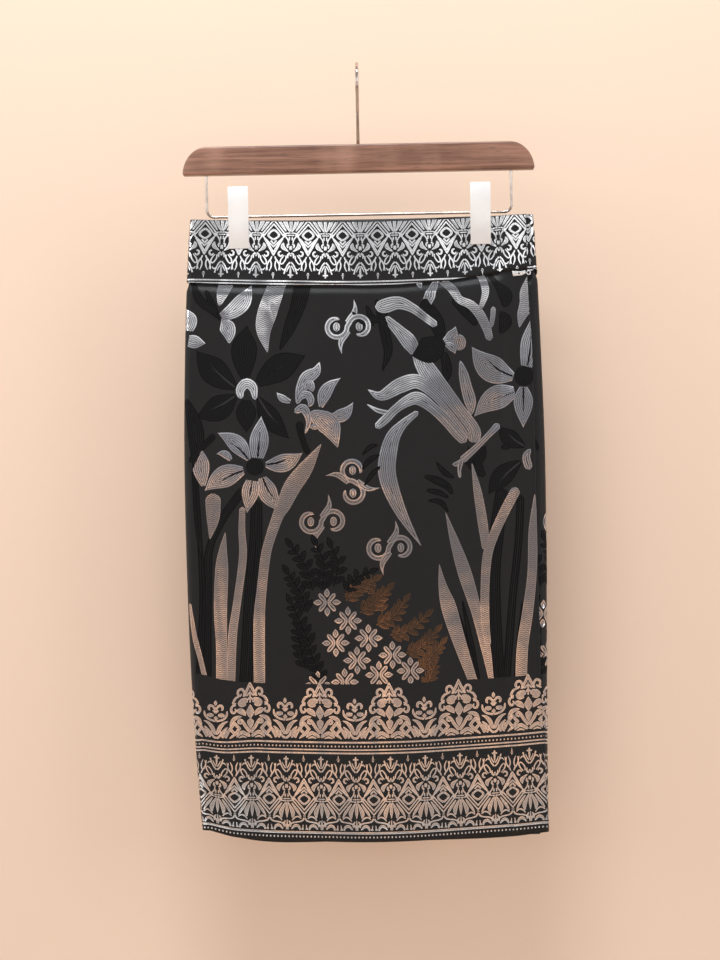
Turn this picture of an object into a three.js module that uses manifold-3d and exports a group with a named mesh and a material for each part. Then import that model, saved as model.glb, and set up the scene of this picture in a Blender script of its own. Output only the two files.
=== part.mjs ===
// A ready-made samping hung flat by its waistband from a wooden clip hanger.
//
// The skirt is one wrap of stiff brocade. It starts at a free edge on the right of the front, runs
// left over the front, round the left fold, over the back and round the right fold, and ends behind
// its own start. Two waistband pieces hold its top, and a hook and a bar close it at the right.
//
// Millimetres. +X is to the right of the front, +Y to the back and +Z up. The origin is the inner
// top of the hanger's hook, where it lies on a rail, and "drop" is the distance below it.

import * as THREE from 'three';
import { mergeVertices } from 'three/addons/utils/BufferGeometryUtils.js';
import Module from 'manifold-3d';

const wasm = await Module();
wasm.setup();

// ---- Cloth ----

const GAP = 0.3; // clearance between pieces that touch
const CLOTH = 1.2; // the skirt's brocade
const BAND = 1.8; // the waistband, folded double
const TUCK = 6; // skirt top held up behind the waistband
const SEAM = 12; // the left seam lies this far behind the left fold
const UNDERLAP = 26; // how far the back goes on behind the front's free edge

// The hung skirt by height: its reach to each side, how far front and back stand out from the
// middle plane between the clips, and the radius of its side folds.
const HANG = [
  { drop: 155, left: 173.5, right: 177.8, front: 7.0, back: 8.0, fold: 4.2 },
  { drop: 213, left: 177.7, right: 180.7, front: 8.5, back: 9.5, fold: 4.8 },
  { drop: 300, left: 181.6, right: 183.4, front: 9.5, back: 11.0, fold: 5.2 },
  { drop: 397, left: 184.0, right: 185.4, front: 10.5, back: 12.5, fold: 5.8 },
  { drop: 500, left: 183.8, right: 185.0, front: 11.5, back: 14.0, fold: 6.4 },
  { drop: 600, left: 181.9, right: 183.5, front: 12.5, back: 15.0, fold: 7.0 },
  { drop: 700, left: 177.7, right: 182.2, front: 13.5, back: 16.0, fold: 7.6 },
  { drop: 800, left: 171.4, right: 182.0, front: 14.5, back: 17.0, fold: 8.0 },
];

// The cut edges across the front and across the back. The front sags between the clips.
const FRONT_EDGES = [
  { x: -178, top: 155.0, foot: 219.4, hem: 779.0 },
  { x: -150, top: 155.8, foot: 221.2, hem: 786.3 },
  { x: -104, top: 157.6, foot: 223.4, hem: 790.0 },
  { x: -32, top: 160.4, foot: 225.0, hem: 792.7 },
  { x: 25, top: 160.8, foot: 226.2, hem: 792.8 },
  { x: 65, top: 160.0, foot: 224.0, hem: 792.2 },
  { x: 104, top: 158.8, foot: 220.4, hem: 790.8 },
  { x: 150, top: 156.9, foot: 213.8, hem: 788.4 },
  { x: 182, top: 156.0, foot: 211.0, hem: 786.0 },
];
const BACK_EDGES = [
  { x: -178, top: 155.2, foot: 219.4, hem: 779.0 },
  { x: -150, top: 156.2, foot: 220.6, hem: 789.0 },
  { x: -104, top: 156.6, foot: 221.6, hem: 795.0 },
  { x: 0, top: 156.8, foot: 222.4, hem: 797.0 },
  { x: 104, top: 156.8, foot: 221.4, hem: 796.0 },
  { x: 150, top: 156.4, foot: 220.6, hem: 793.5 },
  { x: 182, top: 156.0, foot: 220.0, hem: 790.0 },
];

// The front's free edge, close to the right fold.
const FREE_EDGE = [
  { drop: 150, x: 170.5 },
  { drop: 218, x: 170.5 },
  { drop: 295, x: 174.1 },
  { drop: 428, x: 175.2 },
  { drop: 653, x: 176.6 },
  { drop: 790, x: 181.2 },
];

// Large soft folds: where each starts and ends, its half-width and how far it stands out or sinks.
const FRONT_FOLDS = [
  { x: -60, fromDrop: 216, toX: -88, toDrop: 330, width: 13, out: -1.6 },
  { x: -126, fromDrop: 240, toX: -104, toDrop: 800, width: 30, out: 2.2 },
  { x: -44, fromDrop: 330, toX: -50, toDrop: 800, width: 34, out: -2.2 },
  { x: 24, fromDrop: 260, toX: 20, toDrop: 800, width: 32, out: 1.8 },
  { x: 118, fromDrop: 230, toX: 92, toDrop: 800, width: 34, out: -2.4 },
];
const BACK_FOLDS = [
  { x: -112, fromDrop: 230, toX: -92, toDrop: 800, width: 32, out: -2.6 },
  { x: -30, fromDrop: 250, toX: -22, toDrop: 800, width: 34, out: 2.4 },
  { x: 44, fromDrop: 215, toX: 52, toDrop: 620, width: 22, out: -2.0 },
  { x: 112, fromDrop: 260, toX: 104, toDrop: 800, width: 32, out: 2.4 },
];

// ---- Hanger ----

const BAR = { half: 180, top: 81, foot: 110, thick: 13, end: 25, edge: 1.6 };
const WIRE = { thick: 2.8, leg: 156, drop: 152.7, bend: 7.5, socket: 12 };
const HOOK = { thick: 3.4, inner: 17.5, tipDrop: 23, ball: 2.6, straightFrom: 54, socket: 14 };
const CLIP = {
  x: 123.5, wide: 20.5, sheet: 1, up: 31.2, down: 31.8, lean: 9, lip: 2.4, lipHigh: 4,
  ear: 2.8, nest: 1.25, coil: 3.1, coilLong: 12,
};
const PINCH = { half: 2.1, flat: 13.5, fade: 42, fullTo: 187, goneBy: 250 };
const COLUMNS = [18, 37, 56, 75, 94, 111, 136, 149]; // mesh columns each side of the middle
const LAP_RAMP = { from: 137, to: 149 }; // where the front rises on to the underlap

// ---- Hook and bar ----

const CATCH = { from: 154.8, to: 168.8, drop: 216.4, high: 6, thick: 0.9, hole: 0.9, holeX: 161.6 };
const EYE = { from: 169.2, to: 173.8, drop: 216.0, high: 4.8, wire: 0.9, thick: 0.9 };

// ---- Colours ----

const BROCADE = { color: 0x1b1c20, roughness: 0.6, metalness: 0 };
const SILVER_BORDER = { color: 0x77797f, roughness: 0.5, metalness: 0 };
const WALNUT = { color: 0x5a3428, roughness: 0.4, metalness: 0 };
const CHROME = { color: 0xd5d5d2, roughness: 0.15, metalness: 1 };
const SATIN_STEEL = { color: 0xdedede, roughness: 0.3, metalness: 1 };

const { lerp, smoothstep, degToRad } = THREE.MathUtils;
const samping = new THREE.Group();

function add(name, geometry, look, parent = samping) {
  const mesh = new THREE.Mesh(geometry, new THREE.MeshStandardMaterial(look));
  mesh.name = name;
  parent.add(mesh);
  return mesh;
}

// A smooth curve through one column of a table whose rows go up in another.
function along(rows, by, at, column) {
  const last = rows.length - 1;
  let k = 0;
  while (k < last - 1 && at > rows[k + 1][by]) k++;
  const slope = (i) => {
    const a = rows[Math.max(i - 1, 0)];
    const b = rows[Math.min(i + 1, last)];
    return (b[column] - a[column]) / (b[by] - a[by]);
  };
  const [a, b] = [rows[k], rows[k + 1]];
  const span = b[by] - a[by];
  const t = THREE.MathUtils.clamp((at - a[by]) / span, 0, 1);
  return (
    a[column] * (1 + 2 * t) * (1 - t) ** 2 +
    b[column] * t * t * (3 - 2 * t) +
    span * (slope(k) * t * (1 - t) ** 2 - slope(k + 1) * t * t * (1 - t))
  );
}

// ---- The hung form ----

function foldAt(folds, x, drop) {
  let out = 0;
  for (const fold of folds) {
    const t = (drop - fold.fromDrop) / (fold.toDrop - fold.fromDrop);
    const away = (x - lerp(fold.x, fold.toX, t)) / fold.width;
    const strength = smoothstep(t, 0, 0.35) * (fold.toDrop < 800 ? 1 - smoothstep(t, 0.5, 1) : 1);
    out += fold.out * strength * Math.exp(-away * away);
  }
  return out;
}

// How far the outer face of the front or the back stands out from the middle plane.
function standOut(x, drop, side) {
  const fold = along(HANG, 'drop', drop, 'fold');
  const left = along(HANG, 'drop', drop, 'left') - fold;
  const right = along(HANG, 'drop', drop, 'right') - fold;
  const across = x < 0 ? x / left : x / right;
  const swell = Math.cos((Math.PI / 2) * THREE.MathUtils.clamp(across, -1, 1)) ** 2;
  const mid = along(HANG, 'drop', drop, side);
  const folds = foldAt(side === 'front' ? FRONT_FOLDS : BACK_FOLDS, x, drop);
  const edge = 1 - smoothstep(Math.abs(across), 0.8, 1);
  const free = fold + (mid - fold) * swell + folds * edge;
  const fromClip = Math.abs(Math.abs(x) - CLIP.x);
  const acrossPinch = 1 - smoothstep(fromClip, PINCH.flat, PINCH.flat + PINCH.fade);
  const downPinch = 1 - smoothstep(drop, PINCH.fullTo, PINCH.goneBy);
  return lerp(free, PINCH.half, acrossPinch * downPinch);
}

// A place on the outer face. The turn goes round the skirt: 0 to 1 is the left fold from back to
// front, 1 to 2 the front from left to right, 2 to 3 the right fold and 3 to 4 the back.
function outerFace(turn, drop) {
  const fold = along(HANG, 'drop', drop, 'fold');
  const left = fold - along(HANG, 'drop', drop, 'left');
  const right = along(HANG, 'drop', drop, 'right') - fold;
  const t = (turn + 4) % 4;
  const bend = Math.PI * (t % 1);
  const round = fold * Math.sin(bend);
  if (t < 1) return new THREE.Vector3(left - round, fold * Math.cos(bend), -drop);
  if (t < 2) {
    const x = lerp(left, right, t - 1);
    return new THREE.Vector3(x, -standOut(x, drop, 'front'), -drop);
  }
  if (t < 3) return new THREE.Vector3(right + round, -fold * Math.cos(bend), -drop);
  const x = lerp(right, left, t - 3);
  return new THREE.Vector3(x, standOut(x, drop, 'back'), -drop);
}

function outward(turn, drop) {
  const acrossIt = outerFace(turn + 0.002, drop).sub(outerFace(turn - 0.002, drop));
  const downIt = outerFace(turn, drop + 0.5).sub(outerFace(turn, drop - 0.5));
  return downIt.cross(acrossIt).normalize();
}

// The turn at which the front or the right fold reaches x.
function turnAt(x, drop, raised = 0) {
  const fold = along(HANG, 'drop', drop, 'fold');
  const left = fold - along(HANG, 'drop', drop, 'left');
  const right = along(HANG, 'drop', drop, 'right') - fold;
  if (x <= right) return 1 + (x - left) / (right - left);
  return 2 + Math.asin(Math.min((x - right) / (fold + raised), 1)) / Math.PI;
}

// How much of a place belongs to the back: 0 on the front, 1 on the back.
function backness(turn) {
  const t = (turn + 4) % 4;
  if (t < 1) return (1 + Math.cos(Math.PI * t)) / 2;
  if (t < 2) return 0;
  return t < 3 ? (1 - Math.cos(Math.PI * (t - 2))) / 2 : 1;
}

function edgeAt(turn, column) {
  const x = outerFace(turn, 400).x;
  const front = along(FRONT_EDGES, 'x', x, column);
  return lerp(front, along(BACK_EDGES, 'x', x, column), backness(turn));
}

// ---- Cloth walls ----

// A closed wall from a grid of places: columns run round the skirt and rows run down it.
function wall(columns, rows, place) {
  const positions = [];
  const index = [];
  const at = (i, j, face) => (i * (rows + 1) + j) * 2 + face;
  for (let i = 0; i <= columns; i++) {
    for (let j = 0; j <= rows; j++) {
      for (const point of place(i, j)) positions.push(...point.toArray());
    }
  }
  const quad = (a, b, c, d) => index.push(a, b, c, a, c, d);
  for (let i = 0; i < columns; i++) {
    for (let j = 0; j < rows; j++) {
      quad(at(i, j, 0), at(i, j + 1, 0), at(i + 1, j + 1, 0), at(i + 1, j, 0));
      quad(at(i, j, 1), at(i + 1, j, 1), at(i + 1, j + 1, 1), at(i, j + 1, 1));
    }
    quad(at(i, 0, 0), at(i + 1, 0, 0), at(i + 1, 0, 1), at(i, 0, 1));
    quad(at(i, rows, 0), at(i, rows, 1), at(i + 1, rows, 1), at(i + 1, rows, 0));
  }
  for (let j = 0; j < rows; j++) {
    quad(at(0, j, 0), at(0, j, 1), at(0, j + 1, 1), at(0, j + 1, 0));
    quad(at(columns, j, 0), at(columns, j + 1, 0), at(columns, j + 1, 1), at(columns, j, 1));
  }
  const geometry = new THREE.BufferGeometry();
  geometry.setAttribute('position', new THREE.Float32BufferAttribute(positions, 3));
  geometry.setIndex(index);
  geometry.computeVertexNormals();
  return geometry;
}

function steps(from, to, count) {
  return Array.from({ length: count }, (_, i) => lerp(from, to, i / count));
}

// A cloth piece. Its turns are a list whose last few follow its free end, where it has one, and its
// levels are the drops of its rows at a turn. The outer face lies "raised" above the hung form, and
// the wall goes inward from there.
const END_STEPS = 5;
function clothPiece({ turns, freeEnd, levels, thick, raised }) {
  const last = turns.length - 1 - END_STEPS;
  return wall(turns.length - 1, levels(1).length - 1, (i, j) => {
    let turn = turns[i];
    let drop = levels(turn)[j];
    for (let pass = 0; pass < 3 && freeEnd && i > last; pass++) {
      turn = lerp(turns[last], freeEnd(drop), (i - last) / END_STEPS);
      drop = levels(turn)[j];
    }
    const face = outerFace(turn, drop);
    const normal = outward(turn, drop);
    const height = raised(turn, drop);
    return [
      face.clone().addScaledVector(normal, height),
      face.clone().addScaledVector(normal, height - thick),
    ];
  });
}

// Over the underlap the front lies on the back, and its band on the back's band.
const rampFrom = turnAt(LAP_RAMP.from, 180);
const rampTo = turnAt(LAP_RAMP.to, 180);
const onUnderlap = (turn) => (turn > 3.5 ? 0 : smoothstep(turn, rampFrom, rampTo));
const PANEL_STEP = CLOTH + GAP;
const BAND_STEP = BAND + CLOTH + 2 * GAP;
const HIDDEN = { top: 156.6, foot: 220, hem: 789 }; // the underlap's own edges
const edges = (turn, column, back) => (back && turn < 2 ? HIDDEN[column] : edgeAt(turn, column));

function bandLevels(back) {
  return (turn) => {
    const foot = edges(turn, 'foot', back);
    return [...steps(edges(turn, 'top', back), foot, 4), foot];
  };
}

function skirtLevels(back) {
  return (turn) => {
    const foot = edges(turn, 'foot', back);
    const hem = edges(turn, 'hem', back);
    return [foot - TUCK, foot + 1, foot + 5, ...steps(foot + 10, hem, 16), hem];
  };
}

// Behind the band the skirt top lies deeper than below it.
function tucked(turn, drop, back) {
  const below = drop - edges(turn, 'foot', back);
  return (BAND + GAP) * (1 - smoothstep(below, 1, 10));
}

const leftSeam = -SEAM / (2 * 178);
const underlapFrom = 2 - UNDERLAP / (2 * 178);
const seamGap = GAP / (2 * 178);
const leftFold = [leftSeam, 0, 0.17, 0.34, 0.5, 0.66, 0.83];
const rightFold = [2, 2.08, 2.16, 2.24, 2.36, 2.5, 2.66, 2.83];
const across = [...COLUMNS.map((x) => -x).reverse(), 0, ...COLUMNS];
const frontAcross = across.map((x) => turnAt(x, 180));
const backAcross = frontAcross.map((turn) => 5 - turn).reverse();
const frontTurns = [
  ...leftFold, 1, 1.03, ...frontAcross, 1.94, ...steps(1.96, 2, END_STEPS), 2,
];
const backTurns = [
  ...steps(underlapFrom, 2, 3), ...rightFold, 3, 3.03, ...backAcross, 4 + leftSeam - seamGap,
];

add('front_panel', clothPiece({
  turns: frontTurns,
  freeEnd: (drop) => turnAt(along(FREE_EDGE, 'drop', drop, 'x'), drop, PANEL_STEP),
  levels: skirtLevels(false),
  thick: CLOTH,
  raised: (turn, drop) => {
    const on = onUnderlap(turn);
    return on * PANEL_STEP - tucked(turn, drop, false) * (1 - on);
  },
}), BROCADE);

add('back_panel', clothPiece({
  turns: backTurns,
  levels: skirtLevels(true),
  thick: CLOTH,
  raised: (turn, drop) => -tucked(turn, drop, true),
}), BROCADE);

add('waistband_front', clothPiece({
  turns: frontTurns,
  freeEnd: (drop) => turnAt(along(FREE_EDGE, 'drop', drop, 'x'), drop),
  levels: bandLevels(false),
  thick: BAND,
  raised: (turn) => onUnderlap(turn) * BAND_STEP,
}), SILVER_BORDER);

add('waistband_back', clothPiece({
  turns: backTurns,
  levels: bandLevels(true),
  thick: BAND,
  raised: () => 0,
}), SILVER_BORDER);

// ---- Joining and cutting ----

function solidOf(geometry) {
  const bare = geometry.clone();
  bare.deleteAttribute('normal');
  bare.deleteAttribute('uv');
  const merged = mergeVertices(bare, 1e-4);
  return new wasm.Manifold(new wasm.Mesh({
    numProp: 3,
    vertProperties: new Float32Array(merged.attributes.position.array),
    triVerts: new Uint32Array(merged.index.array),
  }));
}

function geometryOf(solid) {
  const mesh = solid.getMesh();
  const geometry = new THREE.BufferGeometry();
  geometry.setAttribute('position', new THREE.BufferAttribute(mesh.vertProperties, 3));
  geometry.setIndex(new THREE.BufferAttribute(mesh.triVerts, 1));
  geometry.computeVertexNormals();
  return geometry;
}

function cut(geometry, ...tools) {
  return geometryOf(tools.reduce((left, tool) => left.subtract(solidOf(tool)), solidOf(geometry)));
}

function join(first, ...others) {
  return geometryOf(others.reduce((all, other) => all.add(solidOf(other)), solidOf(first)));
}

function rod(radius, length, axis, centre, sides = 16) {
  const geometry = new THREE.CylinderGeometry(radius, radius, length, sides);
  if (axis === 'x') geometry.rotateZ(Math.PI / 2);
  if (axis === 'z') geometry.rotateX(Math.PI / 2);
  return geometry.translate(...centre);
}

// A run through given points, with a ring of the wire at each of them and nowhere else.
class Run extends THREE.Curve {
  constructor(points) {
    super();
    this.points = points;
  }
  getPoint(t) {
    const last = this.points.length - 1;
    const k = Math.min(Math.floor(t * last), last - 1);
    return this.points[k].clone().lerp(this.points[k + 1], t * last - k);
  }
  getUtoTmapping(u) {
    return u;
  }
}

// A round wire bent along a run of points.
function bentWire(points, thick, sides = 10) {
  const section = new THREE.Shape();
  section.absarc(0, 0, thick / 2, 0, 2 * Math.PI, false);
  return new THREE.ExtrudeGeometry(section, {
    steps: points.length - 1,
    bevelEnabled: false,
    extrudePath: new Run(points),
    curveSegments: sides / 2,
  });
}

// An outline drawn in Y and Z and extruded to both sides along X.
function sideways(outline, width) {
  const shape = new THREE.Shape(outline.map(([y, z]) => new THREE.Vector2(y, z)));
  const geometry = new THREE.ExtrudeGeometry(shape, { depth: width, bevelEnabled: false });
  geometry.translate(0, 0, -width / 2);
  // The outline's own X and Y become Y and Z, and its depth becomes X.
  geometry.applyMatrix4(new THREE.Matrix4().set(0, 0, 1, 0, 1, 0, 0, 0, 0, 1, 0, 0, 0, 0, 0, 1));
  return geometry;
}

// ---- Wooden bar ----

function barOutline() {
  const half = BAR.half - BAR.edge;
  const top = -BAR.top - BAR.edge;
  const foot = -BAR.foot + BAR.edge;
  const shape = new THREE.Shape();
  shape.moveTo(-half, foot);
  shape.lineTo(half, foot);
  shape.absellipse(half - BAR.end, foot, BAR.end, top - foot, 0, Math.PI / 2, false);
  shape.lineTo(-half + BAR.end, top);
  shape.absellipse(-half + BAR.end, foot, BAR.end, top - foot, Math.PI / 2, Math.PI, false);
  return shape;
}

const barBody = new THREE.ExtrudeGeometry(barOutline(), {
  depth: BAR.thick - 2 * BAR.edge,
  bevelSize: BAR.edge,
  bevelThickness: BAR.edge,
  bevelSegments: 2,
  curveSegments: 8,
});
barBody.translate(0, 0, -BAR.thick / 2 + BAR.edge).rotateX(Math.PI / 2);
add('hanger_bar', cut(
  barBody,
  rod(WIRE.thick / 2 + GAP, 2 * WIRE.socket, 'z', [-WIRE.leg, 0, -BAR.foot], 12),
  rod(WIRE.thick / 2 + GAP, 2 * WIRE.socket, 'z', [WIRE.leg, 0, -BAR.foot], 12),
  rod(HOOK.thick / 2 + GAP, 2 * HOOK.socket, 'z', [0, 0, -BAR.top], 12),
), WALNUT);

// ---- Wire frame that carries the clips ----

const level = -WIRE.drop;
const legTop = -BAR.foot + WIRE.socket - GAP;
const framePoints = [];
for (const side of [-1, 1]) {
  const half = [new THREE.Vector3(side * WIRE.leg, 0, legTop)];
  for (let i = 0; i <= 6; i++) {
    const angle = (Math.PI / 2) * (i / 6);
    half.push(new THREE.Vector3(
      side * (WIRE.leg - WIRE.bend * (1 - Math.cos(angle))), 0,
      level + WIRE.bend * (1 - Math.sin(angle)),
    ));
  }
  framePoints.push(...(side < 0 ? half : half.reverse()));
}
add('hanger_wire', bentWire(framePoints, WIRE.thick), CHROME);

// ---- Swivel hook, turned so that the hanger faces out from the rail ----

const hookRadius = HOOK.inner + HOOK.thick / 2;
const hookCentre = -HOOK.inner;
const tipAngle = -Math.asin((HOOK.tipDrop - HOOK.inner) / hookRadius);
const hookPoints = [];
for (let i = 0; i <= 14; i++) {
  const angle = lerp(tipAngle, degToRad(205), i / 14);
  hookPoints.push(new THREE.Vector3(
    0, hookRadius * Math.cos(angle), hookCentre + hookRadius * Math.sin(angle),
  ));
}
hookPoints.push(new THREE.Vector3(0, -9, -38));
hookPoints.push(new THREE.Vector3(0, -2, -47));
for (const drop of [HOOK.straightFrom, 68, BAR.top, BAR.top + HOOK.socket - GAP]) {
  hookPoints.push(new THREE.Vector3(0, 0, -drop));
}
const hookPath = new THREE.CatmullRomCurve3(hookPoints, false, 'centripetal');
const tip = new THREE.SphereGeometry(HOOK.ball, 12, 8).translate(...hookPoints[0].toArray());
add('hanger_hook', join(bentWire(hookPath.getPoints(48), HOOK.thick), tip), CHROME);

// ---- Clips ----

// One jaw, drawn about the wire that it turns on: a pressed plate with a lip at its foot and, at
// each side, a flange that widens into an ear round the wire.
function jaw(width, plateAt) {
  const inner = plateAt + CLIP.sheet;
  const side = [
    [plateAt, -CLIP.down], [plateAt + CLIP.lip, -CLIP.down], [plateAt + CLIP.lip, -CLIP.down + CLIP.lipHigh],
    [-4.8, -9], [-3.6, -CLIP.ear], [0, -CLIP.ear],
    [CLIP.ear * 0.7, -CLIP.ear * 0.7], [CLIP.ear, 0], [CLIP.ear * 0.7, CLIP.ear * 0.7],
    [0, CLIP.ear], [-CLIP.ear, CLIP.ear], [plateAt + 1.6, CLIP.up], [plateAt, CLIP.up],
  ];
  const high = CLIP.up + CLIP.down - CLIP.lipHigh + 4;
  const pocket = new THREE.BoxGeometry(width - 2 * CLIP.sheet, 30, high);
  pocket.translate(0, inner + 15, -CLIP.down + CLIP.lipHigh + high / 2);
  const bore = rod(WIRE.thick / 2 + GAP, width + 4, 'x', [0, 0, 0], 12);
  return cut(sideways(side, width), pocket, bore);
}

const lean = degToRad(CLIP.lean);
const jawPlate = (-PINCH.half - GAP - CLIP.down * Math.sin(lean)) / Math.cos(lean) - CLIP.lip;
const coilRing = [
  [WIRE.thick / 2 + GAP, -CLIP.coilLong / 2], [CLIP.coil, -CLIP.coilLong / 2],
  [CLIP.coil, CLIP.coilLong / 2], [WIRE.thick / 2 + GAP, CLIP.coilLong / 2],
  [WIRE.thick / 2 + GAP, -CLIP.coilLong / 2],
].map(([r, h]) => new THREE.Vector2(r, h));

for (const [side, x] of [['left', -CLIP.x], ['right', CLIP.x]]) {
  const clip = new THREE.Group();
  clip.position.set(x, 0, level);
  samping.add(clip);
  const front = add(`clip_${side}_front`, jaw(CLIP.wide, jawPlate), SATIN_STEEL, clip);
  front.rotation.x = lean;
  const back = add(`clip_${side}_back`, jaw(CLIP.wide - 2 * CLIP.nest, jawPlate), SATIN_STEEL, clip);
  back.rotation.set(-lean, 0, Math.PI);
  const coil = new THREE.LatheGeometry(coilRing, 16).rotateZ(Math.PI / 2);
  add(`clip_${side}_spring`, coil, SATIN_STEEL, clip);
}

// ---- Waist hook and bar ----

// Both lie flat on the front's outer face, just below the band: outlines in X and Z.
const faceOut = PANEL_STEP + GAP - outerFace(turnAt(164, CATCH.drop), CATCH.drop).y;

function onFace(shape, thick) {
  const geometry = new THREE.ExtrudeGeometry(shape, {
    depth: thick, bevelEnabled: false, curveSegments: 6,
  });
  return geometry.rotateX(Math.PI / 2).translate(0, -faceOut, 0);
}

const hookFoot = -CATCH.drop - CATCH.high / 2;
const hookTop = -CATCH.drop + CATCH.high / 2;
const plate = new THREE.Shape();
plate.moveTo(CATCH.from, hookTop - 0.8);
plate.lineTo(CATCH.from + 0.8, hookFoot);
plate.lineTo(CATCH.to - 4, hookFoot + 0.8);
plate.lineTo(CATCH.to, hookFoot + 3);
plate.lineTo(CATCH.to - 0.8, hookTop);
plate.lineTo(CATCH.to - 5, hookTop - 1.2);
const sewingHole = new THREE.Path();
sewingHole.absarc(CATCH.holeX, -CATCH.drop - 0.2, CATCH.hole, 0, 2 * Math.PI, true);
plate.holes.push(sewingHole);
add('waist_hook', onFace(plate, CATCH.thick), SATIN_STEEL);

const eye = new THREE.Shape();
const eyeWide = EYE.to - EYE.from;
eye.absellipse(EYE.from + eyeWide / 2, -EYE.drop, eyeWide / 2, EYE.high / 2, 0, 2 * Math.PI, false);
const eyeHole = new THREE.Path();
eyeHole.absellipse(
  EYE.from + eyeWide / 2, -EYE.drop, eyeWide / 2 - EYE.wire, EYE.high / 2 - EYE.wire,
  0, 2 * Math.PI, true,
);
eye.holes.push(eyeHole);
add('waist_bar', onFace(eye, EYE.thick), SATIN_STEEL);

export default samping;
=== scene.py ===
"""A samping in black and silver brocade, hung flat by its waistband from a wooden clip hanger."""
import math

import bmesh
import bpy
import numpy as np
from mathutils import Matrix, Vector


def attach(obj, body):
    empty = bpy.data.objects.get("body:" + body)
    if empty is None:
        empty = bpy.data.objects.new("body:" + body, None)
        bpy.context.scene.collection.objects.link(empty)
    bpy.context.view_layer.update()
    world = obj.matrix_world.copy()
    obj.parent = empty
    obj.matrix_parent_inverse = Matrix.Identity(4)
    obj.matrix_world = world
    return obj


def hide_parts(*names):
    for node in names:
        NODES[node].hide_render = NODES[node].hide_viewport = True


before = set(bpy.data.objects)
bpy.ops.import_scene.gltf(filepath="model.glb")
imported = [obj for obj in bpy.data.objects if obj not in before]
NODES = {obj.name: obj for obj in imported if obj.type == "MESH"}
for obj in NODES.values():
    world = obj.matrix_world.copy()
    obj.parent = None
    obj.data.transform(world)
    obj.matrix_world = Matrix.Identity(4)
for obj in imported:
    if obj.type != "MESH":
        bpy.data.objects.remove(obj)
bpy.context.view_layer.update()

MM = 0.001

# ------------------------------------------------------------------ the hung form, in millimetres

GAP = 0.3
PANEL_STEP = 1.5  # how far the front skirt lies above the back where they overlap
BAND_STEP = 3.6  # and the front band above the back band
SKIRT_WALL = 0.8
BAND_WALL = 1.5
TUCK = 6.0
UNDERLAP = 26.0
SEAM = 12.0
HALF_WAIST = 178.0
WAISTS_PER_TURN = 1.98  # cloth in one turn of the front or back, in half waists

# drop, reach to the left and right, front and back stand-out, side fold radius
HANG = np.array([
    (155, 173.5, 177.8, 7.0, 8.0, 4.2), (213, 177.7, 180.7, 8.5, 9.5, 4.8),
    (300, 181.6, 183.4, 9.5, 11.0, 5.2), (397, 184.0, 185.4, 10.5, 12.5, 5.8),
    (500, 183.8, 185.0, 11.5, 14.0, 6.4), (600, 181.9, 183.5, 12.5, 15.0, 7.0),
    (700, 177.7, 182.2, 13.5, 16.0, 7.6), (800, 171.4, 182.0, 14.5, 17.0, 8.0),
])
LEFT, RIGHT, FRONT, BACK, FOLD = 1, 2, 3, 4, 5

# x, top of the band, foot of the band, hem
FRONT_EDGES = np.array([
    (-178, 155.0, 219.4, 779.0), (-150, 155.8, 221.2, 786.3), (-104, 157.6, 223.4, 790.0),
    (-32, 160.4, 225.0, 792.7), (25, 160.8, 226.2, 792.8), (65, 160.0, 224.0, 792.2),
    (104, 158.8, 220.4, 790.8), (150, 156.9, 213.8, 788.4), (182, 156.0, 211.0, 786.0),
])
BACK_EDGES = np.array([
    (-178, 155.2, 219.4, 779.0), (-150, 156.2, 220.6, 789.0), (-104, 156.6, 221.6, 795.0),
    (0, 156.8, 222.4, 797.0), (104, 156.8, 221.4, 796.0), (150, 156.4, 220.6, 793.5),
    (182, 156.0, 220.0, 790.0),
])
TOP, FOOT, HEM = 1, 2, 3
MIDDLE_DROP = 400.0
BAND_MIDDLE = 180.0
LAP_BETWEEN = 137.0, 149.0  # x where the free end rises on to the underlap
HIDDEN = {TOP: 156.6, FOOT: 220.0, HEM: 789.0}
FREE_EDGE = np.array([
    (150, 170.5), (218, 170.5), (295, 174.1), (428, 175.2), (653, 176.6), (790, 181.2),
])

TO_HEM = 800  # a fold to this drop runs out at the hem

# x, from drop, to x, to drop, half-width, how far out
FRONT_FOLDS = [
    (-60, 216, -88, 330, 13, -1.6), (-126, 240, -104, 800, 30, 2.2), (-44, 330, -50, 800, 34, -2.2),
    (24, 260, 20, 800, 32, 1.8), (118, 230, 92, 800, 34, -2.4),
]
BACK_FOLDS = [
    (-112, 230, -92, 800, 32, -2.6), (-30, 250, -22, 800, 34, 2.4), (44, 215, 52, 620, 22, -2.0),
    (112, 260, 104, 800, 32, 2.4),
]
# Softer creases of the cloth alone, laid over the folds: x, drop, to x, to drop, half-width, out
FRONT_CREASES = [
    (-150, 232, -138, 330, 7, -0.7), (-96, 230, -80, 300, 6, 0.5), (64, 232, 52, 350, 8, -0.6),
    (150, 240, 132, 420, 9, -0.8), (96, 226, 104, 300, 6, 0.5), (-160, 420, -150, 640, 9, -0.6),
    (-8, 470, -20, 720, 10, -0.5), (58, 520, 66, 780, 9, 0.5), (140, 560, 150, 790, 8, -0.7),
    (-132, 640, -140, 795, 8, 0.6), (-76, 600, -84, 790, 9, -0.5), (10, 228, 4, 300, 7, -0.4),
]
BACK_CREASES = [
    (-148, 230, -140, 360, 8, -0.7), (-70, 228, -60, 340, 7, 0.6), (78, 230, 86, 390, 9, -0.7),
    (146, 236, 134, 470, 9, -0.6), (-150, 470, -142, 780, 9, 0.6), (8, 420, 2, 700, 10, -0.6),
    (66, 600, 74, 795, 8, 0.6), (-64, 640, -58, 795, 8, -0.6),
]
CLIP_X = 123.5
PINCH_HALF, PINCH_FLAT, PINCH_FADE, PINCH_FULL, PINCH_GONE = 2.1, 13.5, 42.0, 187.0, 250.0


def smoothstep(value, low, high):
    t = np.clip((value - low) / (high - low), 0.0, 1.0)
    return t * t * (3.0 - 2.0 * t)


def mix(a, b, t):
    return a + (b - a) * t


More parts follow.
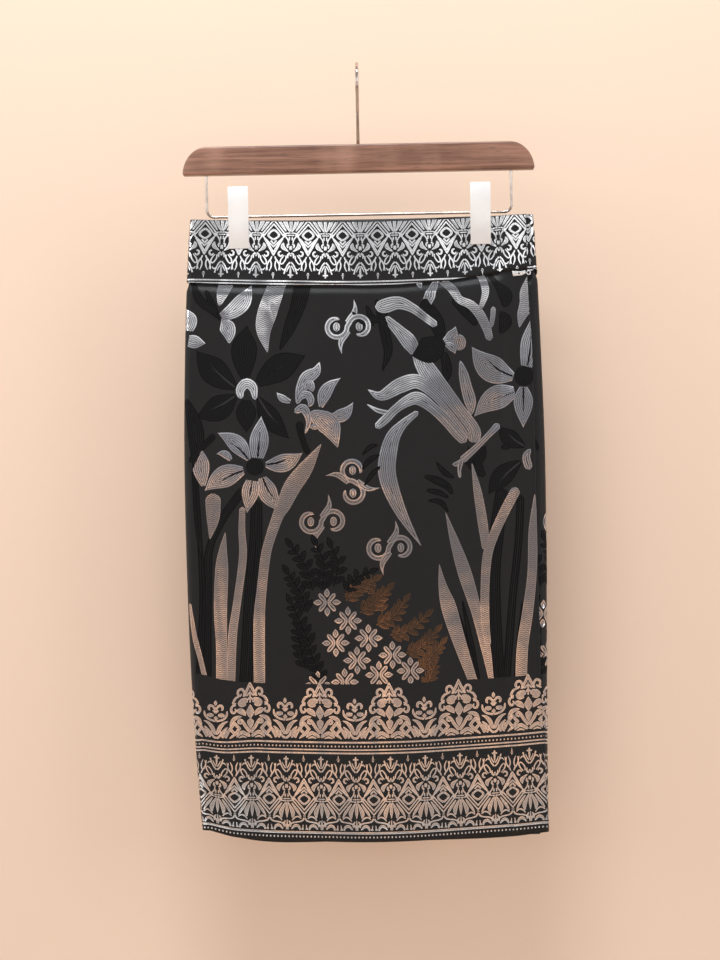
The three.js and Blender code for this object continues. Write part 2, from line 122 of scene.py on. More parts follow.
def along(rows, at, column):
    """A smooth curve through one column of a table whose rows go up in the first."""
    keys, values = rows[:, 0], rows[:, column]
    last = len(keys) - 1
    before = np.maximum(np.arange(last + 1) - 1, 0)
    after = np.minimum(np.arange(last + 1) + 1, last)
    slope = (values[after] - values[before]) / (keys[after] - keys[before])
    at = np.asarray(at, float)
    k = np.clip(np.searchsorted(keys, at) - 1, 0, last - 1)
    span = keys[k + 1] - keys[k]
    t = np.clip((at - keys[k]) / span, 0.0, 1.0)
    return (values[k] * (1 + 2 * t) * (1 - t) ** 2 + values[k + 1] * t * t * (3 - 2 * t)
            + span * (slope[k] * t * (1 - t) ** 2 - slope[k + 1] * t * t * (1 - t)))


def fold_height(folds, x, drop):
    """How far soft folds push the cloth out, each a ridge or valley along a slanting line."""
    out = np.zeros_like(drop)
    for x0, from_drop, x1, to_drop, width, height in folds:
        t = (drop - from_drop) / (to_drop - from_drop)
        away = (x - mix(x0, x1, t)) / width
        fade = 1 - smoothstep(t, 0.5, 1) if to_drop < TO_HEM else 1.0
        out += height * smoothstep(t, 0, 0.35) * fade * np.exp(-away * away)
    return out


def crease_height(creases, x, drop):
    """The same for creases, which wander a little and widen on their way down."""
    out = np.zeros_like(drop)
    for x0, from_drop, x1, to_drop, width, height in creases:
        t = (drop - from_drop) / (to_drop - from_drop)
        wander = 2.5 * np.sin(3.1 * t + x0)
        away = (x - mix(x0, x1, t) - wander) / (width * (0.7 + 0.5 * np.clip(t, 0, 1)))
        out += height * smoothstep(t, 0, 0.3) * (1 - smoothstep(t, 0.55, 1)) * np.exp(-away * away)
    return out


def stand_out(x, drop, side):
    """How far the front or back stands out from the middle plane."""
    fold = along(HANG, drop, FOLD)
    left, right = along(HANG, drop, LEFT) - fold, along(HANG, drop, RIGHT) - fold
    across = np.where(x < 0, x / left, x / right)
    swell = np.cos(math.pi / 2 * np.clip(across, -1, 1)) ** 2
    folds = FRONT_FOLDS if side == FRONT else BACK_FOLDS
    creases = FRONT_CREASES if side == FRONT else BACK_CREASES
    edge = 1 - smoothstep(np.abs(across), 0.8, 1)
    waves = fold_height(folds, x, drop) + crease_height(creases, x, drop)
    free = fold + (along(HANG, drop, side) - fold) * swell + waves * edge
    from_clip = np.abs(np.abs(x) - CLIP_X)
    pinch = 1 - smoothstep(from_clip, PINCH_FLAT, PINCH_FLAT + PINCH_FADE)
    pinch = pinch * (1 - smoothstep(drop, PINCH_FULL, PINCH_GONE))
    return mix(free, PINCH_HALF, pinch)


def fold_and_ends(drop):
    """The side fold's radius, and the x where the front begins and ends."""
    fold = along(HANG, drop, FOLD)
    return fold, fold - along(HANG, drop, LEFT), along(HANG, drop, RIGHT) - fold


def outer_face(turn, drop):
    """Turn 0 to 1 is the left fold from back to front, 1 to 2 the front from left to right, 2 to 3
    the right fold and 3 to 4 the back."""
    turn, drop = np.broadcast_arrays(np.asarray(turn, float), np.asarray(drop, float))
    fold, left, right = fold_and_ends(drop)
    t = np.mod(turn, 4.0)
    part = np.floor(t)
    bend = math.pi * (t - part)
    ring = fold * np.sin(bend)
    front_x, back_x = mix(left, right, t - 1), mix(right, left, t - 3)
    x = np.select([part == 0, part == 1, part == 2], [left - ring, front_x, right + ring], back_x)
    y = np.select(
        [part == 0, part == 1, part == 2],
        [fold * np.cos(bend), -stand_out(front_x, drop, FRONT), -fold * np.cos(bend)],
        stand_out(back_x, drop, BACK))
    return np.stack([x, y, -drop], axis=-1)


def outward(turn, drop):
    across_it = outer_face(turn + 0.002, drop) - outer_face(turn - 0.002, drop)
    down_it = outer_face(turn, drop + 0.5) - outer_face(turn, drop - 0.5)
    normal = np.cross(down_it, across_it)
    return normal / np.linalg.norm(normal, axis=-1, keepdims=True)


def turn_at(x, drop, raised=0.0):
    """The turn at which the front or the right fold reaches x."""
    fold, left, right = fold_and_ends(drop)
    past = np.clip((x - right) / (fold + raised), 0, 1)
    return np.where(x <= right, 1 + (x - left) / (right - left), 2 + np.arcsin(past) / math.pi)


def turn_along(way, drop):
    """The turn at a way round the cloth: x on the front, and on from there over both folds."""
    fold, left, right = fold_and_ends(drop)
    round_it = math.pi * fold
    wide = right - left
    beyond = left - way  # how far past the left end of the front
    past_left = np.where(
        beyond <= round_it, 1 - beyond / round_it,
        np.where(beyond <= round_it + wide, -(beyond - round_it) / wide,
                 np.where(beyond <= 2 * round_it + wide, -1 - (beyond - round_it - wide) / round_it,
                          -2 - (beyond - 2 * round_it - wide) / wide)))
    on_front = 1 + (way - left) / wide
    past_right = 2 + (way - right) / round_it
    return np.where(way < left, past_left, np.where(way <= right, on_front, past_right))


def way_of(turn, drop):
    """The way round the cloth of a turn on the front or the right fold."""
    fold, left, right = fold_and_ends(drop)
    return np.where(turn <= 2, left + (turn - 1) * (right - left), right + (turn - 2) * math.pi * fold)


def backness(turn):
    """0 on the front, 1 on the back, and between them on the side folds."""
    t = np.mod(turn, 4.0)
    return np.select([t < 1, t < 2, t < 3],
                     [(1 + np.cos(math.pi * t)) / 2, 0 * t, (1 - np.cos(math.pi * (t - 2))) / 2], 1.0)


def edge_at(turn, column, behind=False):
    """The drop of the band's top or foot or of the hem. Behind, it goes on hidden under the front."""
    x = outer_face(turn, np.full_like(np.asarray(turn, float), MIDDLE_DROP))[..., 0]
    open_edge = mix(along(FRONT_EDGES, x, column), along(BACK_EDGES, x, column), backness(turn))
    if behind:
        under = (np.mod(turn, 4.0) < 2) & (np.mod(turn, 4.0) > 1)
        return np.where(under, HIDDEN[column], open_edge)
    return open_edge


LAP_FROM, LAP_TO = (float(turn_at(np.array(x), np.array(BAND_MIDDLE))) for x in LAP_BETWEEN)
LEFT_SEAM = -SEAM / (2 * HALF_WAIST)
UNDERLAP_FROM = 2 - UNDERLAP / (2 * HALF_WAIST)
SEAM_GAP = GAP / (2 * HALF_WAIST)


def on_underlap(turn):
    return np.where(turn > 3.5, 0.0, smoothstep(turn, LAP_FROM, LAP_TO))


def tucked(turn, drop, behind):
    """How far the skirt's upper edge lies in, under the band."""
    below = drop - edge_at(turn, FOOT, behind)
    return (1.8 + GAP) * (1 - smoothstep(below, 1, 10))


class ClothPiece:
    """One cut piece: where it starts and ends round the skirt, and how it lies over its neighbour."""

    def __init__(self, behind, band):
        self.behind, self.band = behind, band

    def start(self, drop):
        return np.full_like(drop, UNDERLAP_FROM if self.behind else LEFT_SEAM)

    def end(self, drop):
        if self.behind:
            return np.full_like(drop, 4 + LEFT_SEAM - SEAM_GAP)
        return turn_at(along(FREE_EDGE, drop, 1), drop, 0.0 if self.band else PANEL_STEP)

    def raised(self, turn, drop):
        if self.band:
            return np.zeros_like(drop) if self.behind else on_underlap(turn) * BAND_STEP
        if self.behind:
            return -tucked(turn, drop, True)
        on = on_underlap(turn)
        return on * PANEL_STEP - tucked(turn, drop, False) * (1 - on)

    def place(self, turn, drop, lift=0.0):
        normal = outward(turn, drop)
        height = self.raised(turn, drop) + lift
        return outer_face(turn, drop) + normal * height[..., None]


SKIRT_FRONT, SKIRT_BACK = ClothPiece(False, False), ClothPiece(True, False)
BAND_FRONT, BAND_BACK = ClothPiece(False, True), ClothPiece(True, True)

# ------------------------------------------------------------------ meshes


def mesh_object(name, points, faces, smooth=True, edges=()):
    """A new object from points in millimetres."""
    mesh = bpy.data.meshes.new(name)
    mesh.from_pydata((np.asarray(points) * MM).tolist(), edges, faces)
    mesh.validate()
    mesh.polygons.foreach_set("use_smooth", [smooth] * len(mesh.polygons))
    piece = bpy.data.objects.new(name, mesh)
    bpy.context.scene.collection.objects.link(piece)
    return piece


def round_shaded(piece):
    piece.data.polygons.foreach_set("use_smooth", [True] * len(piece.data.polygons))


def give(piece, *materials):
    for material in materials:
        piece.data.materials.append(material)


def keep_cloth_map(piece, ways):
    """The cloth's own map: metres round the cloth and metres down it, one value for each point."""
    mesh = piece.data
    corner = np.empty(len(mesh.loops), int)
    mesh.loops.foreach_get("vertex_index", corner)
    layer = mesh.uv_layers.new(name="cloth")
    layer.data.foreach_set("uv", (np.asarray(ways)[corner] * MM).astype(np.float32).ravel())


END_FROM = 1.93  # from this turn on, the front's columns follow its free edge
END_STEPS = 18


def cloth_turns(cloth, count):
    """Turns of the columns, crowded on the side folds. The front's last columns are left out."""
    first = float(cloth.start(np.zeros(1))[0])
    last = float(cloth.end(np.full(1, MIDDLE_DROP))[0]) if cloth.behind else END_FROM
    fine = np.linspace(first, last, 4000)
    inside = np.mod(fine, 4.0)
    on_fold = (inside < 1.0) | ((inside > 2.0) & (inside < 3.0))
    weight = np.where(on_fold, 15.0, HALF_WAIST * 0.42)
    total = np.concatenate([[0.0], np.cumsum((weight[1:] + weight[:-1]) / 2)])
    return np.interp(np.linspace(0, total[-1], count + 1), total, fine)


def cloth_wall(name, cloth, levels, columns, wall):
    """A closed thin wall: levels gives the drops of its rows at a turn."""
    turns = cloth_turns(cloth, columns)
    drop = levels(turns)
    turn = np.repeat(turns[:, None], drop.shape[1], axis=1)
    if not cloth.behind:
        share = np.linspace(0, 1, END_STEPS + 1)[1:, None]
        end_drop = np.repeat(levels(np.full(1, 1.99)), END_STEPS, axis=0)
        for _ in range(3):
            end_way = way_of(cloth.end(end_drop), end_drop)
            start_way = way_of(np.full_like(end_drop, END_FROM), end_drop)
            end_turn = turn_along(mix(start_way, end_way, share), end_drop)
            end_drop = np.stack([levels(end_turn[:, j])[:, j] for j in range(drop.shape[1])], axis=1)
        turn, drop = np.vstack([turn, end_turn]), np.vstack([drop, end_drop])
    outer = cloth.place(turn, drop)
    inner = cloth.place(turn, drop, -wall)
    n, m = turn.shape
    index = np.arange(n * m).reshape(n, m)
    inside = index + n * m
    a, b, c, d = index[:-1, :-1], index[:-1, 1:], index[1:, 1:], index[1:, :-1]
    faces = [np.stack([a, b, c, d], -1).reshape(-1, 4)]
    a, b, c, d = inside[:-1, :-1], inside[1:, :-1], inside[1:, 1:], inside[:-1, 1:]
    faces.append(np.stack([a, b, c, d], -1).reshape(-1, 4))
    for line, flip in ((index[:, 0], False), (index[:, -1], True), (index[0], True), (index[-1], False)):
        a, b = line[:-1], line[1:]
        ring = [a, b, b + n * m, a + n * m] if not flip else [b, a, a + n * m, b + n * m]
        faces.append(np.stack(ring, -1))
    points = np.concatenate([outer.reshape(-1, 3), inner.reshape(-1, 3)])
    piece = mesh_object(name, points, np.concatenate(faces).tolist())
    round_it = np.stack([turn * HALF_WAIST * WAISTS_PER_TURN, -drop], axis=-1).reshape(-1, 2)
    keep_cloth_map(piece, np.concatenate([round_it, round_it]))
    return piece


def rows_between(first, last, count):
    return [mix(first, last, i / count) for i in range(count + 1)]


def skirt_levels(behind):
    def levels(turn):
        foot, hem = edge_at(turn, FOOT, behind), edge_at(turn, HEM, behind)
        near = [foot + step for step in (-TUCK, -3, 0, 1, 2.5, 4, 5.5, 7, 8.5)]
        return np.stack(near + rows_between(foot + 10, hem, 150), axis=-1)
    return levels


def band_levels(behind):
    def levels(turn):
        top, foot = edge_at(turn, TOP, behind), edge_at(turn, FOOT, behind)
        return np.stack(rows_between(top, foot, 22), axis=-1)
    return levels


SKIRT_COLUMNS, BAND_COLUMNS = 168, 150
skirt_front = cloth_wall("skirt_front", SKIRT_FRONT, skirt_levels(False), SKIRT_COLUMNS, SKIRT_WALL)
skirt_back = cloth_wall("skirt_back", SKIRT_BACK, skirt_levels(True), SKIRT_COLUMNS, SKIRT_WALL)
band_front = cloth_wall("band_front", BAND_FRONT, band_levels(False), BAND_COLUMNS, BAND_WALL)
band_back = cloth_wall("band_back", BAND_BACK, band_levels(True), BAND_COLUMNS, BAND_WALL)

# ------------------------------------------------------------------ drawing the woven pattern

# Tones of thread: silver in contour rows, silver in weft rows, black, the black midrib of a silver
# petal, the paler midrib of a black leaf, and dark bronze.
SILVER, WEFT, INK, RIB, FAINT, BRONZE = range(6)


def distance_along(points):
    return np.concatenate([[0.0], np.cumsum(np.linalg.norm(np.diff(points, axis=0), axis=1))])


def smooth_line(points, step):
    """A smooth curve through points, which may have more than two columns, at about equal steps."""
    points = np.asarray(points, float)
    ends = np.vstack([2 * points[0] - points[1], points, 2 * points[-1] - points[-2]])
    fine = []
    for k in range(1, len(ends) - 2):
        p0, p1, p2, p3 = ends[k - 1:k + 3]
        t = np.linspace(0, 1, 16, endpoint=False)[:, None]
        fine.append(0.5 * (2 * p1 + (p2 - p0) * t + (2 * p0 - 5 * p1 + 4 * p2 - p3) * t ** 2
                           + (3 * p1 - p0 - 3 * p2 + p3) * t ** 3))
    fine = np.vstack(fine + [ends[-2:-1]])
    gone = distance_along(fine[:, :2])
    count = max(2, int(math.ceil(gone[-1] / step)))
    at = np.linspace(0, gone[-1], count + 1)
    return np.stack([np.interp(at, gone, fine[:, c]) for c in range(fine.shape[1])], axis=-1)


class Drawing:
    """Shapes drawn flat in millimetres: across the cloth, and up or down it."""

    def __init__(self):
        self.points, self.faces, self.edge, self.tone, self.levels = [], [], [], [], []
        self.count, self.level = 0, 0

    def strip(self, spine, half, tone):
        """A shape grown to both sides of a spine by half its width at each point."""
        way = np.gradient(spine, axis=0)
        way /= np.maximum(np.linalg.norm(way, axis=1, keepdims=True), 1e-9)
        side = np.stack([way[:, 1], -way[:, 0]], axis=-1)
        across = max(2, 2 * int(math.ceil(half.max() / 3.2)))
        share = np.linspace(-1, 1, across + 1)
        grid = spine[:, None] + side[:, None] * (half[:, None] * share)[..., None]
        edge = half[:, None] * (1 - np.abs(share))
        n, m = len(spine), across + 1
        index = self.count + np.arange(n * m).reshape(n, m)
        a, b, c, d = index[:-1, :-1], index[:-1, 1:], index[1:, 1:], index[1:, :-1]
        self.faces.append(np.stack([a, b, c, d], -1).reshape(-1, 4))
        self.points.append(grid.reshape(-1, 2))
        self.edge.append(edge.reshape(-1))
        self.tone.append(np.full(len(self.faces[-1]), tone))
        self.levels.append(np.full(n * m, self.level + 0.1 * (len(self.levels) % 12)))
        self.count += n * m

    def ribbon(self, points, width, tone=SILVER, step=1.8):
        """A stroke through points. Its width is one number or one for each point."""
        points = np.asarray(points, float)
        width = np.broadcast_to(np.asarray(width, float), (len(points),))
        line = smooth_line(np.column_stack([points, width]), step)
        half = np.maximum(line[:, 2], 0.0) / 2
        gone = distance_along(line[:, :2])
        if width.max() > 3.5:  # broad strokes end round
            for end in (gone, gone[-1] - gone):
                cap = max(half[int(np.argmin(end))] * 0.9, 1e-6)
                half = half * np.sqrt(1 - np.clip(1 - end / cap, 0, 0.98) ** 2)
        self.strip(line[:, :2], half, tone)

    def leaf(self, base, tip, width, tone=SILVER, bow=0.0, at=0.45, foot=0.25, step=1.8):
        """A petal or leaf from base to tip, widest at a share of its length and bowed sideways."""
        base, tip = np.asarray(base, float), np.asarray(tip, float)
        length = np.linalg.norm(tip - base)
        t = np.linspace(0, 1, max(4, int(length / step)) + 1)
        ahead = (tip - base) / length
        side = np.array([ahead[1], -ahead[0]])
        spine = base + (tip - base) * t[:, None] + side * (bow * np.sin(math.pi * t) * length)[:, None]
        rise = np.clip(t / at, 0, 1)
        fall = np.clip((1 - t) / (1 - at), 0, 1)
        grown = foot + (1 - foot) * np.sin(math.pi / 2 * rise)
        shape = np.where(t < at, grown, np.sin(math.pi / 2 * fall) ** 1.15)
        self.strip(spine, width / 2 * shape, tone)

    def disc(self, x, y, wide, high, tone=SILVER, parts=8):
        t = np.linspace(-1, 1, parts + 1)
        spine = np.column_stack([np.full(parts + 1, x), y + t * high / 2])
        self.strip(spine, np.sqrt(np.maximum(1 - t * t, 0)) * wide / 2, tone)

    def lozenge(self, x, y, wide, high, tone=SILVER):
        spine = np.array([(x, y - high / 2), (x, y), (x, y + high / 2)])
        self.strip(spine, np.array([0.0, wide / 2, 0.0]), tone)

    def straight(self, points, width, tone=SILVER, step=2.4):
        """A line with sharp corners: one stroke for each stretch."""
        for a, b in zip(points[:-1], points[1:]):
            a, b = np.asarray(a, float), np.asarray(b, float)
            count = max(1, int(math.ceil(np.linalg.norm(b - a) / step)))
            over = (b - a) / max(np.linalg.norm(b - a), 1e-9) * width * 0.3
            line = np.linspace(a - over, b + over, count + 1)
            self.strip(line, np.full(count + 1, width / 2), tone)

    def stamp(self, other, x, y=0.0, mirror=False, flip=False):
        """Another drawing moved to a place, mirrored left to right or flipped top to bottom."""
        scale = np.array([-1.0 if mirror else 1.0, -1.0 if flip else 1.0])
        self.points += [points * scale + np.array([x, y]) for points in other.points]
        self.faces += [(faces[:, ::-1] if mirror != flip else faces) + self.count for faces in other.faces]
        self.edge += other.edge
        self.tone += other.tone
        self.levels += other.levels
        self.count += other.count

    def without_bright(self, left, right):
        """The drawing less every shape of bright or brown thread that reaches between two sides."""
        rest, first = Drawing(), 0
        shapes = zip(self.points, self.faces, self.edge, self.tone, self.levels)
        for points, faces, edge, tone, levels in shapes:
            reaches = (points[:, 0] > left) & (points[:, 0] < right)
            if tone[0] == INK or not reaches.any():
                rest.points.append(points)
                rest.faces.append(faces - first + rest.count)
                rest.edge.append(edge)
                rest.tone.append(tone)
                rest.levels.append(levels)
                rest.count += len(points)
            first += len(points)
        return rest

    def both(self, other, x=0.0, y=0.0, flip=False):
        self.stamp(other, x, y, False, flip)
        self.stamp(other, x, y, True, flip)


def weave_in(name, drawing, cloth, drop_at, limits, lift=0.2):
    """Lays a drawing on a piece of cloth as raised threads and cuts it off at the piece's edges.
    drop_at turns the drawing's places into turns and drops."""
    flat = np.concatenate(drawing.points)
    faces = np.concatenate(drawing.faces)
    edge = np.concatenate(drawing.edge)
    tone = np.concatenate(drawing.tone)
    level = np.concatenate(drawing.levels)
    turn, drop = drop_at(flat[:, 0], flat[:, 1])
    low, high = limits(turn)
    first, last = cloth.start(drop), cloth.end(drop)
    inset = 0.5 / (2 * HALF_WAIST)
    cut_off = (drop < low) | (drop > high) | (turn < first + inset) | (turn > last - inset)
    drop = np.clip(drop, low, high)
    turn = np.clip(turn, first + inset, last - inset)
    height = lift * (0.9 + 0.1 * np.clip(edge / 1.2, 0, 1)) + 0.12 * level
    points = cloth.place(turn, drop, height)
    a, b, c, d = (points[faces[:, k]] for k in range(4))
    normal = np.cross(c - a, d - b)
    area = np.linalg.norm(normal, axis=1)
    out = outward(turn[faces[:, 0]], drop[faces[:, 0]])
    facing = np.einsum("ij,ij->i", normal, out)
    keep = (area > 0.02) & (cut_off[faces].sum(axis=1) < 3)
    faces, tone, facing = faces[keep], tone[keep], facing[keep]
    faces = np.where(facing[:, None] < 0, faces[:, ::-1], faces)
    used, inverse = np.unique(faces, return_inverse=True)
    piece = mesh_object(name, points[used], inverse.reshape(faces.shape).tolist())
    mesh = piece.data
    if len(mesh.polygons) == len(tone):
        mesh.polygons.foreach_set("material_index", tone.astype(np.int32))
    thread = mesh.attributes.new("thread", "FLOAT", "POINT")
    thread.data.foreach_set("value", edge[used].astype(np.float32))
    ways = np.column_stack([turn * HALF_WAIST * WAISTS_PER_TURN, -drop])[used]
    keep_cloth_map(piece, ways)
    return piece

# ------------------------------------------------------------------ finishes


def add_inputs(tree, inputs):
    for label, kind, value in inputs:
        socket = tree.interface.new_socket(label, in_out="INPUT", socket_type=kind)
        if value is not None:
            socket.default_value = value


def node_group(name, inputs, outputs):
    tree = bpy.data.node_groups.new(name, "ShaderNodeTree")
    add_inputs(tree, inputs)
    for label, kind in outputs:
        tree.interface.new_socket(label, in_out="OUTPUT", socket_type=kind)
    return tree, tree.nodes.new("NodeGroupInput"), tree.nodes.new("NodeGroupOutput")


class Build:
    """Short words for adding and joining nodes in a tree."""

    def __init__(self, tree):
        self.tree = tree

    def node(self, kind, **settings):
        made = self.tree.nodes.new(kind)
        for key, value in settings.items():
            setattr(made, key, value)
        return made

    def join(self, out, into):
        self.tree.links.new(out, into)

    def put(self, socket, value):
        if isinstance(value, bpy.types.NodeSocket):
            self.join(value, socket)
        else:
            socket.default_value = value

    def math(self, operation, a, b=0.0):
        made = self.node("ShaderNodeMath", operation=operation)
        self.put(made.inputs[0], a)
        self.put(made.inputs[1], b)
        return made.outputs[0]

    def ramp(self, value, low, high):
        made = self.node("ShaderNodeMapRange", interpolation_type="SMOOTHSTEP")
        self.put(made.inputs["Value"], value)
        made.inputs["From Min"].default_value, made.inputs["From Max"].default_value = low, high
        return made.outputs["Result"]

    def blend(self, share, a, b):
        made = self.node("ShaderNodeMix", data_type="RGBA")
        self.put(made.inputs["Factor"], share)
        self.put(made.inputs["A"], a)
        self.put(made.inputs["B"], b)
        return made.outputs["Result"]

    def between(self, share, a, b):
        made = self.node("ShaderNodeMix", data_type="FLOAT")
        self.put(made.inputs[0], share)
        self.put(made.inputs[2], a)
        self.put(made.inputs[3], b)
        return made.outputs[0]

    def noise(self, vector, scale, detail=2.0, rough=0.5):
        made = self.node("ShaderNodeTexNoise")
        self.put(made.inputs["Vector"], vector)
        self.put(made.inputs["Scale"], scale)
        made.inputs["Detail"].default_value = detail
        made.inputs["Roughness"].default_value = rough
        return made.outputs["Fac"]

    def group(self, tree, **values):
        made = self.node("ShaderNodeGroup", node_tree=tree)
        for label, value in values.items():
            self.put(made.inputs[label.replace("_", " ")], value)
        return made


def cloth_weave_group():
    """Warp and weft of the ground cloth: a height and a mask of the raised floats."""
    tree, inputs, outputs = node_group(
        "ground_weave",
        [("Map", "NodeSocketVector", None), ("Threads", "NodeSocketFloat", 1600.0)],
        [("Height", "NodeSocketFloat"), ("Slub", "NodeSocketFloat")])
    build = Build(tree)
    split = build.node("ShaderNodeSeparateXYZ")
    build.join(inputs.outputs["Map"], split.inputs[0])
    across = build.math("MULTIPLY", split.outputs["X"], inputs.outputs["Threads"])
    down = build.math("MULTIPLY", split.outputs["Y"], inputs.outputs["Threads"])
    twill = build.math("ADD", across, build.math("MULTIPLY", down, 0.5))
    ribs = build.math("SINE", build.math("MULTIPLY", twill, math.pi))
    wefts = build.math("SINE", build.math("MULTIPLY", down, 2 * math.pi))
    height = build.math("ADD", build.math("MULTIPLY", ribs, 0.35), build.math("MULTIPLY", wefts, 0.25))
    stretched = build.node("ShaderNodeCombineXYZ")
    build.join(build.math("MULTIPLY", split.outputs["X"], 60.0), stretched.inputs["X"])
    build.join(build.math("MULTIPLY", split.outputs["Y"], 900.0), stretched.inputs["Y"])
    slub = build.noise(stretched.outputs[0], 1.0, 2.0)
    build.join(build.math("ADD", height, 0.5), outputs.inputs["Height"])
    build.join(slub, outputs.inputs["Slub"])
    return tree


def thread_group():
    """Metal threads of a motif: bright floats with dark gaps between, by distance from its outline
    or by weft rows, and a paler line along the outline."""
    tree, inputs, outputs = node_group(
        "metal_thread",
        [("Map", "NodeSocketVector", None), ("Inset", "NodeSocketFloat", 0.0),
         ("Contour", "NodeSocketFloat", 1.0), ("Pitch", "NodeSocketFloat", 1.9)],
        [("Float", "NodeSocketFloat"), ("Outline", "NodeSocketFloat"), ("Glint", "NodeSocketFloat"),
         ("Height", "NodeSocketFloat")])
    build = Build(tree)
    split = build.node("ShaderNodeSeparateXYZ")
    build.join(inputs.outputs["Map"], split.inputs[0])
    waver_each_metre, waver = 1350.0, 0.45
    wave = build.math("SINE", build.math("MULTIPLY", split.outputs["X"], waver_each_metre))
    rows = build.math("ADD", build.math("MULTIPLY", split.outputs["Y"], 1 / MM),
                      build.math("MULTIPLY", wave, waver))
    row = build.between(inputs.outputs["Contour"], rows, inputs.outputs["Inset"])
    turns = build.math("DIVIDE", row, inputs.outputs["Pitch"])
    beat = build.math("COSINE", build.math("MULTIPLY", turns, 2 * math.pi))
    gap = build.ramp(beat, 0.15, 0.8)
    float_ = build.math("SUBTRACT", 1.0, gap)
    outline = build.math("SUBTRACT", 1.0, build.ramp(inputs.outputs["Inset"], 0.35, 0.9))
    shown = build.math("MAXIMUM", float_, outline)
    coarse = build.noise(inputs.outputs["Map"], 700.0, 2.0)
    build.join(shown, outputs.inputs["Float"])
    build.join(outline, outputs.inputs["Outline"])
    build.join(build.ramp(coarse, 0.35, 0.7), outputs.inputs["Glint"])
    build.join(build.math("ADD", build.math("MULTIPLY", shown, 0.6),
                          build.math("MULTIPLY", coarse, 0.6)), outputs.inputs["Height"])
    return tree


def grain_group():
    """Straight walnut grain along X, with a few paler figured bands."""
    tree, inputs, outputs = node_group(
        "walnut_grain", [("Place", "NodeSocketVector", None)],
        [("Grain", "NodeSocketFloat"), ("Pore", "NodeSocketFloat"), ("Figure", "NodeSocketFloat")])
    build = Build(tree)

    def stretched(x, y, z):
        made = build.node("ShaderNodeMapping", vector_type="POINT")
        build.join(inputs.outputs["Place"], made.inputs["Vector"])
        made.inputs["Scale"].default_value = (x, y, z)
        return made.outputs[0]

    bands = build.noise(stretched(9, 150, 260), 1.0, 4.0, 0.6)
    pores = build.noise(stretched(60, 900, 1500), 1.0, 2.0, 0.6)
    figure = build.noise(stretched(26, 5, 7), 1.0, 1.0, 0.4)
    build.join(build.ramp(bands, 0.3, 0.72), outputs.inputs["Grain"])
    build.join(build.ramp(pores, 0.55, 0.75), outputs.inputs["Pore"])
    build.join(build.ramp(figure, 0.5, 0.75), outputs.inputs["Figure"])
    return tree


def wear_group():
    """Faint handling marks on bare metal: a cloudy mask and fine scratches."""
    tree, inputs, outputs = node_group(
        "metal_wear", [("Place", "NodeSocketVector", None), ("Size", "NodeSocketFloat", 120.0)],
        [("Cloud", "NodeSocketFloat"), ("Scratch", "NodeSocketFloat")])
    build = Build(tree)
    cloud = build.noise(inputs.outputs["Place"], inputs.outputs["Size"], 3.0)
    long = build.node("ShaderNodeMapping", vector_type="POINT")
    build.join(inputs.outputs["Place"], long.inputs["Vector"])
    long.inputs["Scale"].default_value = (2200, 900, 120)
    scratch = build.noise(long.outputs[0], 1.0, 1.0)
    build.join(build.ramp(cloud, 0.35, 0.7), outputs.inputs["Cloud"])
    build.join(build.ramp(scratch, 0.56, 0.72), outputs.inputs["Scratch"])
    return tree


GROUND_WEAVE, METAL_THREAD, GRAIN, WEAR = cloth_weave_group(), thread_group(), grain_group(), wear_group()
PUCKER_DEPTH = 0.0002


def finish(name, **constants):
    """A new material with its own constants, a builder for its nodes and its shader."""
    material = bpy.data.materials.new(name)
    material.use_nodes = True
    shader = material.node_tree.nodes["Principled BSDF"]
    for label, value in constants.items():
        shader.inputs[label.replace("_", " ")].default_value = value
    return material, Build(material.node_tree), shader


def cloth_map(build):
    return build.node("ShaderNodeUVMap", uv_map="cloth").outputs[0]


def place(build):
    return build.node("ShaderNodeTexCoord").outputs["Object"]


def bump(build, shader, height, strength, distance, under=None):
    made = build.node("ShaderNodeBump")
    made.inputs["Strength"].default_value = strength
    made.inputs["Distance"].default_value = distance
    build.join(height, made.inputs["Height"])
    if under is not None:
        build.join(under, made.inputs["Normal"])
    build.join(made.outputs[0], shader.inputs["Normal"])


def puckers(build):
    """The slight cockle of heavy brocade, the same under the ground and under the motifs."""
    wide = build.noise(cloth_map(build), 38.0, 1.5, 0.4)
    made = build.node("ShaderNodeBump")
    made.inputs["Strength"].default_value = 1.0
    made.inputs["Distance"].default_value = PUCKER_DEPTH
    build.join(wide, made.inputs["Height"])
    return made.outputs[0]


def black_brocade():
    material, build, shader = finish("black_brocade", Specular_IOR_Level=0.3)
    weave = build.group(GROUND_WEAVE, Map=cloth_map(build), Threads=1700.0)
    shade = build.blend(weave.outputs["Slub"], (0.0060, 0.0062, 0.0066, 1), (0.0100, 0.0102, 0.0108, 1))
    build.join(shade, shader.inputs["Base Color"])
    build.join(build.between(weave.outputs["Slub"], 0.42, 0.32), shader.inputs["Roughness"])
    bump(build, shader, weave.outputs["Height"], 0.35, 0.0002, puckers(build))
    return material


def silver_thread(name, contour, pitch, bright, dark):
    material, build, shader = finish(name, Anisotropic=0.0)
    where = cloth_map(build)
    inset = build.node("ShaderNodeAttribute", attribute_name="thread").outputs["Fac"]
    thread = build.group(METAL_THREAD, Map=where, Inset=inset, Contour=contour, Pitch=pitch)
    silver = build.blend(thread.outputs["Glint"], tuple(0.82 * v for v in bright) + (1,), bright + (1,))
    build.join(build.blend(thread.outputs["Float"], dark + (1,), silver), shader.inputs["Base Color"])
    build.join(build.between(thread.outputs["Float"], 0.6, 1.0), shader.inputs["Metallic"])
    rough = build.between(thread.outputs["Glint"], 0.11, 0.05)
    build.join(build.between(thread.outputs["Float"], 0.36, rough), shader.inputs["Roughness"])
    bump(build, shader, thread.outputs["Height"], 0.05, 0.00009, puckers(build))
    return material


